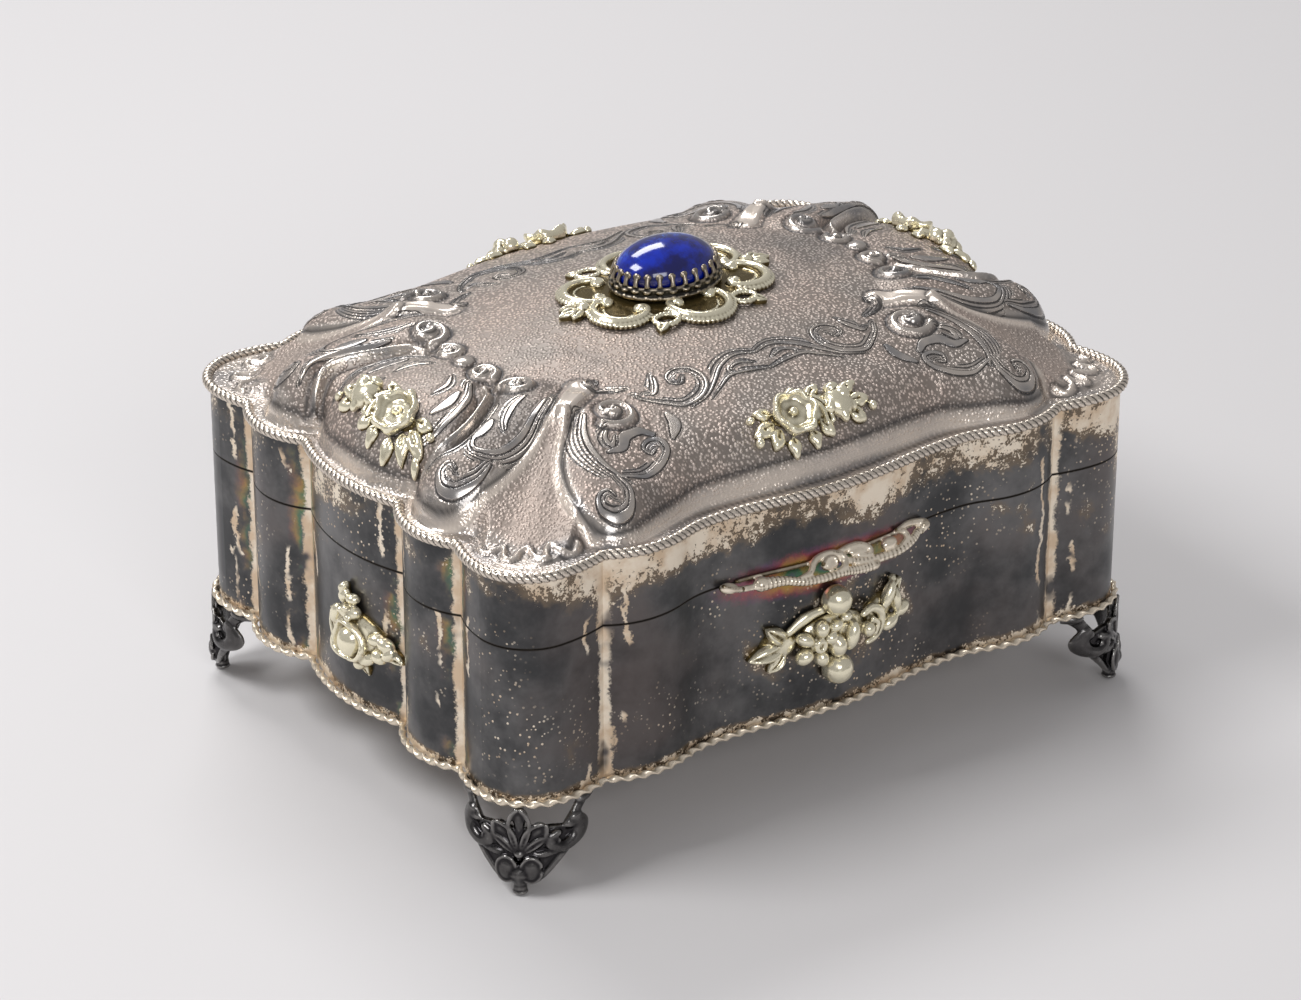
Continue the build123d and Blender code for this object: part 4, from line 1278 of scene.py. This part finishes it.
def side_spray_shapes():
    """The flower cluster of the short walls: a cup with a ball, a pierced bud, buds and leaves."""
    shapes = rose_cup((4.6, 31.6, 0.6), 4.1, 2.6, 3, 1.0)
    shapes += eggs(
        ((5.0, 31.6, 2.2), (2.3, 2.9, 2.2), 10), ((5.4, 33.0, 0.2), (7.6, 4.2, 1.6), -10),
        ((4.4, 37.2, 1.5), (2.4, 1.5, 1.7)), ((3.4, 37.6, 2.9), (0.75, 0.6, 0.6)),
        ((4.8, 38.3, 2.9), (0.75, 0.6, 0.6)), ((5.4, 36.6, 2.9), (0.75, 0.6, 0.6)),
        ((2.6, 39.6, 1.1), (1.5, 1.2, 1.3), 80), ((4.8, 39.6, 1.1), (1.3, 1.0, 1.3), 0),
        ((2.4, 41.2, 1.1), (1.2, 0.8, 1.3), 70), ((-0.4, 34.8, 1.1), (2.3, 1.3, 1.3), 70),
        ((10.6, 33.6, 1.3), (1.6, 1.2, 1.4), 10), ((12.6, 33.2, 1.3), (1.6, 1.2, 1.4), -30),
        ((13.4, 31.4, 1.3), (1.5, 1.1, 1.4), 60), ((11.2, 30.4, 1.3), (1.6, 1.2, 1.4), -50),
        ((8.2, 29.0, 1.3), (1.9, 1.4, 1.4), 20), ((6.6, 27.6, 1.3), (1.4, 1.1, 1.4), 80),
        ((2.9, 27.9, 0.9), (1.8, 1.1, 1.2), -40),
    )
    return shapes + leaves(
        ((-3.6, 34.6), -62, 9.0, 3.4, 1.6, 0.3), ((6.6, 28.4), -75, 3.6, 1.8, 1.3, 0.0),
        ((11.8, 32.0), -28, 4.4, 2.4, 1.8, 0.5),
    )


# Place, turn and length of the shoots round the lid's rose and bud
SHOOTS = (
    (-8.0, 1.2, 158, 3.6), (-8.4, -0.6, 190, 4.8), (-7.6, -1.8, 222, 3.8), (-6.0, -3.6, 255, 2.6),
    (7.8, 1.4, 30, 3.4), (8.2, -0.6, -4, 4.0), (7.2, -2.0, -40, 3.4), (-2.2, 3.4, 70, 2.6),
    (1.2, 2.8, 40, 3.2), (0.6, -2.6, -60, 3.0), (-1.6, -3.6, -98, 2.4),
)


def lid_spray_shapes():
    """The rose, the bud and the leaves of the lid."""
    shapes = rose_cup((-4.0, 0.1, 0.3), 4.2, 2.3, 6, 0.4)
    shapes += eggs(
        ((-0.4, 0.0, -0.1), (8.2, 3.0, 1.0)), ((5.6, -0.4, 0.9), (2.7, 3.0, 1.9)),
        ((5.2, 2.3, 1.6), (1.5, 1.2, 1.3)), ((6.4, 0.4, 2.1), (1.4, 1.5, 1.2)),
    )
    for turn in (40, 110, 200, 265, 330):
        x, y = heading(turn) * (2.3, 2.5)
        shapes.append(egg((5.6 + x, -0.4 + y, 1.1), (1.2, 0.9, 1.0), turn))
    for x, y, turn, length in SHOOTS:
        shapes.append(leaf((x, y), turn, length, 2.6, 1.3, 0.4))
        shapes.append(egg((*((x, y) + length * 0.72 * heading(turn)), 0.6), (0.95, 0.8, 0.8), turn))
    shapes.append(bar(((0.6, 1.6), (1.8, -0.6), (1.6, -3.4)), 0.42, 0.9, 1.0, 14))
    shapes.append(bar(((1.4, 2.4), (2.8, -0.2), (3.0, -3.2)), 0.38, 0.8, 1.0, 14))
    for x, y in ((-12.4, 1.4), (10.4, 2.6), (12.4, -2.2), (-12.6, -2.6)):
        shapes.append(egg((x, y, 0.5), (0.85, 0.75, 0.9)))
    return shapes


# Route, radii, height over the lip's level, flatness, number of points and any reeding of the lip's bars
LIP_LEVEL = 0.45
LIP_BARS = (
    (((-25.4, 0.6), (-23.6, 1.6), (-22.2, 1.9)), 0.5, 0.5, 1.0, 12),
    (((-22.6, 1.7), (-20.4, 1.9), (-18.6, 2.0)), 0.6, 0.0, 0.8, 12),
    (((-18.2, 1.9), (-13.8, 2.2), (-10.3, 3.2), (-6.4, 3.5), (-2.2, 3.5), (1.0, 3.9), (4.6, 4.1)),
     (1.25, 0.85, 0.8, 0.75, 0.85, 0.95), 0.0, 0.9, 150, 0.09, 0.75),
    (((-11.0, 2.6), (-8.4, 1.9), (-6.9, 0.3), (-5.0, -0.4), (-2.6, -0.3), (-0.9, 0.9), (-1.5, 2.6),
      (-3.2, 3.2)), (0.5, 0.7, 0.75, 0.6), 0.1, 1.0, 40),
    (((-5.6, 1.2), (-4.4, 0.4), (-3.0, 0.6), (-2.8, 1.5)), 0.42, 0.6, 1.0, 16),
    (((-1.6, -0.2), (0.8, -0.5), (3.2, -0.2), (4.9, 1.0), (4.3, 2.0), (2.2, 1.5)),
     (0.5, 0.75, 0.7, 0.5), 0.1, 1.0, 34),
    (((-1.2, 1.4), (0.4, 2.0), (3.4, 2.9), (7.1, 3.3), (11.2, 3.3), (14.8, 2.6), (16.7, 1.6)),
     (0.6, 0.75, 0.85, 0.9, 0.75), 0.0, 0.9, 120, 0.08, 0.75),
    (((12.2, -0.1), (13.7, 0.9), (13.4, 2.2), (11.6, 2.9)), (0.5, 0.75, 0.6), 0.1, 1.0, 20),
    (((12.6, 0.0), (15.2, -0.3), (18.0, 0.3), (19.0, 1.1), (17.4, 1.9)), (0.5, 0.7, 0.9, 0.6), 0.0, 1.0, 26),
)


def thumb_shapes():
    """The openwork lip: reeded bars, curled leaves, volutes and a solder strip behind them."""
    shapes = [bar(route, radii, LIP_LEVEL + lift, *rest) for route, radii, lift, *rest in LIP_BARS]
    shapes += eggs(
        ((-24.3, 0.95, LIP_LEVEL), (1.9, 1.05, 0.8), 12), ((-17.9, 1.7, LIP_LEVEL + 0.1), (1.45, 1.25, 1.15)),
        ((4.5, 4.1, LIP_LEVEL + 0.1), (1.2, 0.85, 0.9)), ((-3.9, 1.3, LIP_LEVEL), (2.0, 1.2, 0.85), -10),
        ((2.4, 0.7, LIP_LEVEL), (2.2, 0.95, 0.75), 8), ((9.3, 1.5, LIP_LEVEL + 0.2), (1.9, 1.15, 1.0)),
        ((18.6, 1.1, LIP_LEVEL + 0.2), (1.2, 0.95, 0.95)),
    )
    return shapes + [bar([(x, 0.1) for x in (-22, -10, 0, 10, 18)], 0.4, 0.0, 1.0, 60)]


# Radius, level and spacing of the reeds of the cartouche's scrolls
SCROLL_THICK = 0.9
SCROLL_LEVEL = 0.75
SCROLL_REEDS = 0.85


def c_scroll(centre, radius, facing, reach):
    """A C-scroll with curled ends, a reeded back and a fine inner line."""
    sweep = np.radians(facing + np.linspace(-reach, reach, 60))
    arc = circle(centre, radius, sweep)
    eye_radius = radius * 0.27
    shapes, ends = [], []
    for end, side in ((arc[0], -1), (arc[-1], 1)):
        turn = facing + side * reach
        eye = end - heading(turn) * eye_radius
        curl = np.radians(turn + side * np.linspace(0, 250, 20))
        ends.append(circle(eye, eye_radius * np.linspace(1, 0.35, 20), curl))
        shapes.append(egg((*eye, SCROLL_LEVEL + 0.25), (eye_radius * 0.62, eye_radius * 0.62, 0.75)))
    line = np.concatenate([ends[0][::-1], arc[1:-1], ends[1]])
    shapes.append(tube(level_line(line, SCROLL_LEVEL), SCROLL_THICK * np.array((0.6, 0.75, 1, 0.75, 0.6))))
    back = circle(centre, radius + 0.95, sweep[4:-4])
    length = np.hypot(*np.diff(back, axis=0).T).sum()
    ripple = np.cos(np.linspace(0, 2 * math.pi * length / SCROLL_REEDS, 90))
    shapes.append(tube(level_line(resample(back, 90), 0.3), 0.62 * (1 + 0.16 * ripple)))
    inner = circle(centre, radius - 1.9, sweep[10:-10])
    inner = inner + 0.12 * np.sin(np.linspace(0, 40, len(inner)))[:, None] * (inner - centre) / radius
    shapes.append(tube(level_line(inner, 0.42), 0.24))
    return shapes


# Bottom and top of the cartouche's ground
PLATE = (-0.6, 0.38)


def frame_shapes():
    """The cartouche: six C-scrolls, small loops and leaves on a thin ground."""
    shapes = [slab(oval((0, 0), 17.0, 12.5), *PLATE)]
    for sy in (-1, 1):
        shapes.append(slab(oval((0, sy * 10.0), 6.2, 6.2), *PLATE))
        shapes += c_scroll((0, sy * 10.2), 5.5, sy * 90, 112)
        for sx in (-1, 1):
            shapes.append(slab(oval((sx * 13.2, sy * 4.6), 5.6, 5.6), *PLATE))
            shapes += c_scroll((sx * 13.3, sy * 4.7), 4.9, math.degrees(math.atan2(sy * 0.62, sx)), 108)
            loop = oval((sx * 8.6, sy * 12.3), 2.3, 1.8, np.linspace(0, 6.0, 20))
            shapes.append(bar(loop, 0.58, 0.4, 1.0, 70, 0.12, 0.8))
            turn = math.degrees(math.atan2(sy, sx))
            shapes.append(leaf((sx * 9.4, sy * 12.6), turn, 3.4, 2.4, 1.1, 0.2, 0.5))
    for sx, turn in ((-1, 180), (1, 0)):
        for lean, length in ((-34, 4.0), (0, 4.9), (34, 4.0)):
            shapes.append(leaf((sx * 18.6, 0), turn + lean, length, 2.4, 1.5, 0.3, 0.5))
        shapes.append(egg((sx * 18.2, 0, 0.8), (1.2, 1.2, 0.9)))
    return shapes


PRONGS = 26
COLLET_HALF = np.array([10.45, 7.95])
# Growth, level and radius of each ring of the setting
COLLET_RINGS = ((0, 81.35, 0.38), (0, 81.9, 0.38), (0, 82.45, 0.38), (0, 82.9, 0.38), (0.3, 81.25, 0.42))
# Reach outward and level along each prong
PRONG_LINE = ((0.0, 82.7), (0.05, 83.4), (-0.1, 84.1), (-0.5, 84.8))


def collet_shapes():
    """The oval setting with its crown of keyhole prongs."""
    shapes = []
    for grow, level, radius in COLLET_RINGS:
        ring = oval((0, 0), *(COLLET_HALF + grow), np.linspace(0, 2 * math.pi, 97))
        shapes.append(tube(level_line(ring, level), radius))
    for k in range(PRONGS):
        way = heading(360 * k / PRONGS)
        foot, out = COLLET_HALF * way, way / COLLET_HALF
        out /= np.hypot(*out)
        line = [(*(foot + out * reach), level) for reach, level in PRONG_LINE]
        shapes.append(tube(line, (0.85, 0.5, 0.42, 0.5), 1.0, 10))
        turn = math.degrees(math.atan2(out[1], out[0]))
        shapes.append(egg((*(foot - out * 0.62), 85.0), (0.45, 0.78, 0.72), turn))
        shapes.append(egg((*(foot + out * 0.35), 81.4), (0.5, 0.6, 0.42), turn))
    return shapes


def build_feet(material):
    """The four cast feet."""
    shapes = foot_shapes()
    for row, sy in (("front", -1), ("rear", 1)):
        for side, sx in (("left", -1), ("right", 1)):
            obj = cast(f"palmette_foot_{row}_{side}", shapes, on_corner(sx, sy), 0.2)
            dress(obj, "box", "oxidised_silver", material, f"foot_{row}_{side}")


def build_flowers(material):
    """The flower sprays on the walls and the lid."""
    front, side = front_spray_shapes(), side_spray_shapes()
    walls = (
        ("front", front, on_front), ("rear", front, half_turn(on_front)),
        ("left", side, on_left), ("right", side, half_turn(on_left)),
    )
    for name, shapes, seat in walls:
        obj = cast(f"wall_flowers_{name}", shapes, seat, 0.2, deepest=-0.4, ground=0.7)
        dress(obj, "box", "pale_gilt", material, f"body_spray_{name}")
    roses = lid_spray_shapes()
    mirrored = [(points * (-1, 1, 1), [face[::-1] for face in faces]) for points, faces in roses]
    seats = (
        ("front", roses, on_lid((0, -43.4), (1, 0))), ("rear", roses, on_lid((0, 43.4), (-1, 0))),
        ("left", mirrored, on_lid((-61.4, -2.0), (0, -1))), ("right", mirrored, on_lid((61.4, 2.0), (0, 1))),
    )
    for name, shapes, seat in seats:
        obj = cast(f"lid_rose_{name}", shapes, seat, 0.18, deepest=-0.35, ground=0.3)
        dress(obj, "lid", "pale_gilt", material, f"lid_spray_{name}")


def build_lip(material):
    """The openwork lip on the lid's front edge."""
    obj = cast("scroll_lip", thumb_shapes(), on_lip, 0.16, ground=0.1)
    dress(obj, "lid", "bare_silver", material, "thumbpiece")


def build_cartouche(material):
    """The scrolled frame round the stone."""
    obj = cast("cartouche", frame_shapes(), on_crown, 0.2, deepest=-0.6, ground=0.45)
    dress(obj, "lid", "pale_gilt", material, "scroll_frame")


def build_setting(material):
    """The stone's pronged setting."""
    obj = cast("stone_setting", collet_shapes(), lambda points: points, 0.16)
    dress(obj, "lid", "oxidised_silver", material, "stone_collet")


# Studio, with its places in metres

CAMERA_AT = (-0.45508, -0.63182, 0.42772)
CAMERA_AIM = (-0.00341, -0.00011, 0.0374)
CAMERA_LENS = 130.03
# Name, place, target, size and power of each lamp
LAMPS = (
    ("top_left", (-0.55, 0.15, 0.75), (0, 0, 0.05), (0.40, 0.30), 4.6),
    ("top_back", (0.15, 0.65, 0.85), (0, 0, 0.05), (0.60, 0.30), 5.0),
    ("front_fill", (-0.35, -0.95, 0.55), (0, 0, 0.04), (0.50, 0.35), 3.0),
)
# Half side of the floor, in millimetres as for every mesh
FLOOR_HALF = 3000


def aim(obj, at, target):
    """Place a camera or a lamp and turn it towards a point."""
    obj.location = at
    obj.rotation_euler = (Vector(target) - obj.location).to_track_quat("-Z", "Y").to_euler()


def build_camera():
    """The photograph's camera."""
    camera = new_object("camera", bpy.data.cameras.new("camera"))
    camera.data.lens = CAMERA_LENS
    camera.data.sensor_width = 36
    camera.data.clip_start = 0.05
    aim(camera, CAMERA_AT, CAMERA_AIM)
    bpy.context.scene.camera = camera


def build_lamps():
    """The plain world and the soft rectangular lamps."""
    world = bpy.data.worlds.new("studio")
    bpy.context.scene.world = world
    world.use_nodes = True
    background = world.node_tree.nodes["Background"]
    background.inputs["Color"].default_value = (0.78, 0.77, 0.78, 1)
    background.inputs["Strength"].default_value = 0.42
    for name, at, target, size, power in LAMPS:
        lamp = new_object(name, bpy.data.lights.new(name, "AREA"))
        lamp.data.shape = "RECTANGLE"
        lamp.data.size, lamp.data.size_y = size
        lamp.data.energy = power
        aim(lamp, at, target)


def build_floor():
    """The paper that the casket stands on."""
    corners = [(x * FLOOR_HALF, y * FLOOR_HALF, 0) for x, y in ((-1, -1), (1, -1), (1, 1), (-1, 1))]
    floor = make_mesh("floor", corners, [(0, 1, 2, 3)])
    paper = Surface("paper_floor").finish({"Base Color": (0.665, 0.65, 0.655), "Roughness": 0.9})
    floor.data.materials.append(paper)


def main():
    """Build the studio and every piece."""
    bpy.context.scene.view_settings.view_transform = "Standard"
    build_camera()
    build_lamps()
    build_floor()
    silver, gilt = plain_silver(), highlit_and_shaded_material("pale_gilt")
    build_dome(dome_material())
    build_underside(silver)
    build_rope(highlit_and_shaded_material("rope_silver"))
    build_base_wire(highlit_and_shaded_material("wire_silver"))
    build_stone(lapis_material())
    build_feet(highlit_and_shaded_material("dark_oxide"))
    build_flowers(gilt)
    build_lip(highlit_and_shaded_material("lip_silver"))
    build_cartouche(gilt)
    build_setting(highlit_and_shaded_material("setting_oxide"))
    set_nodes(("body_wall", "lid_skirt"), wall_material())
    set_nodes(("body_floor", "body_bezel", "hinge_box_leaf", "hinge_lid_leaf", "hinge_pin"), silver)


main()
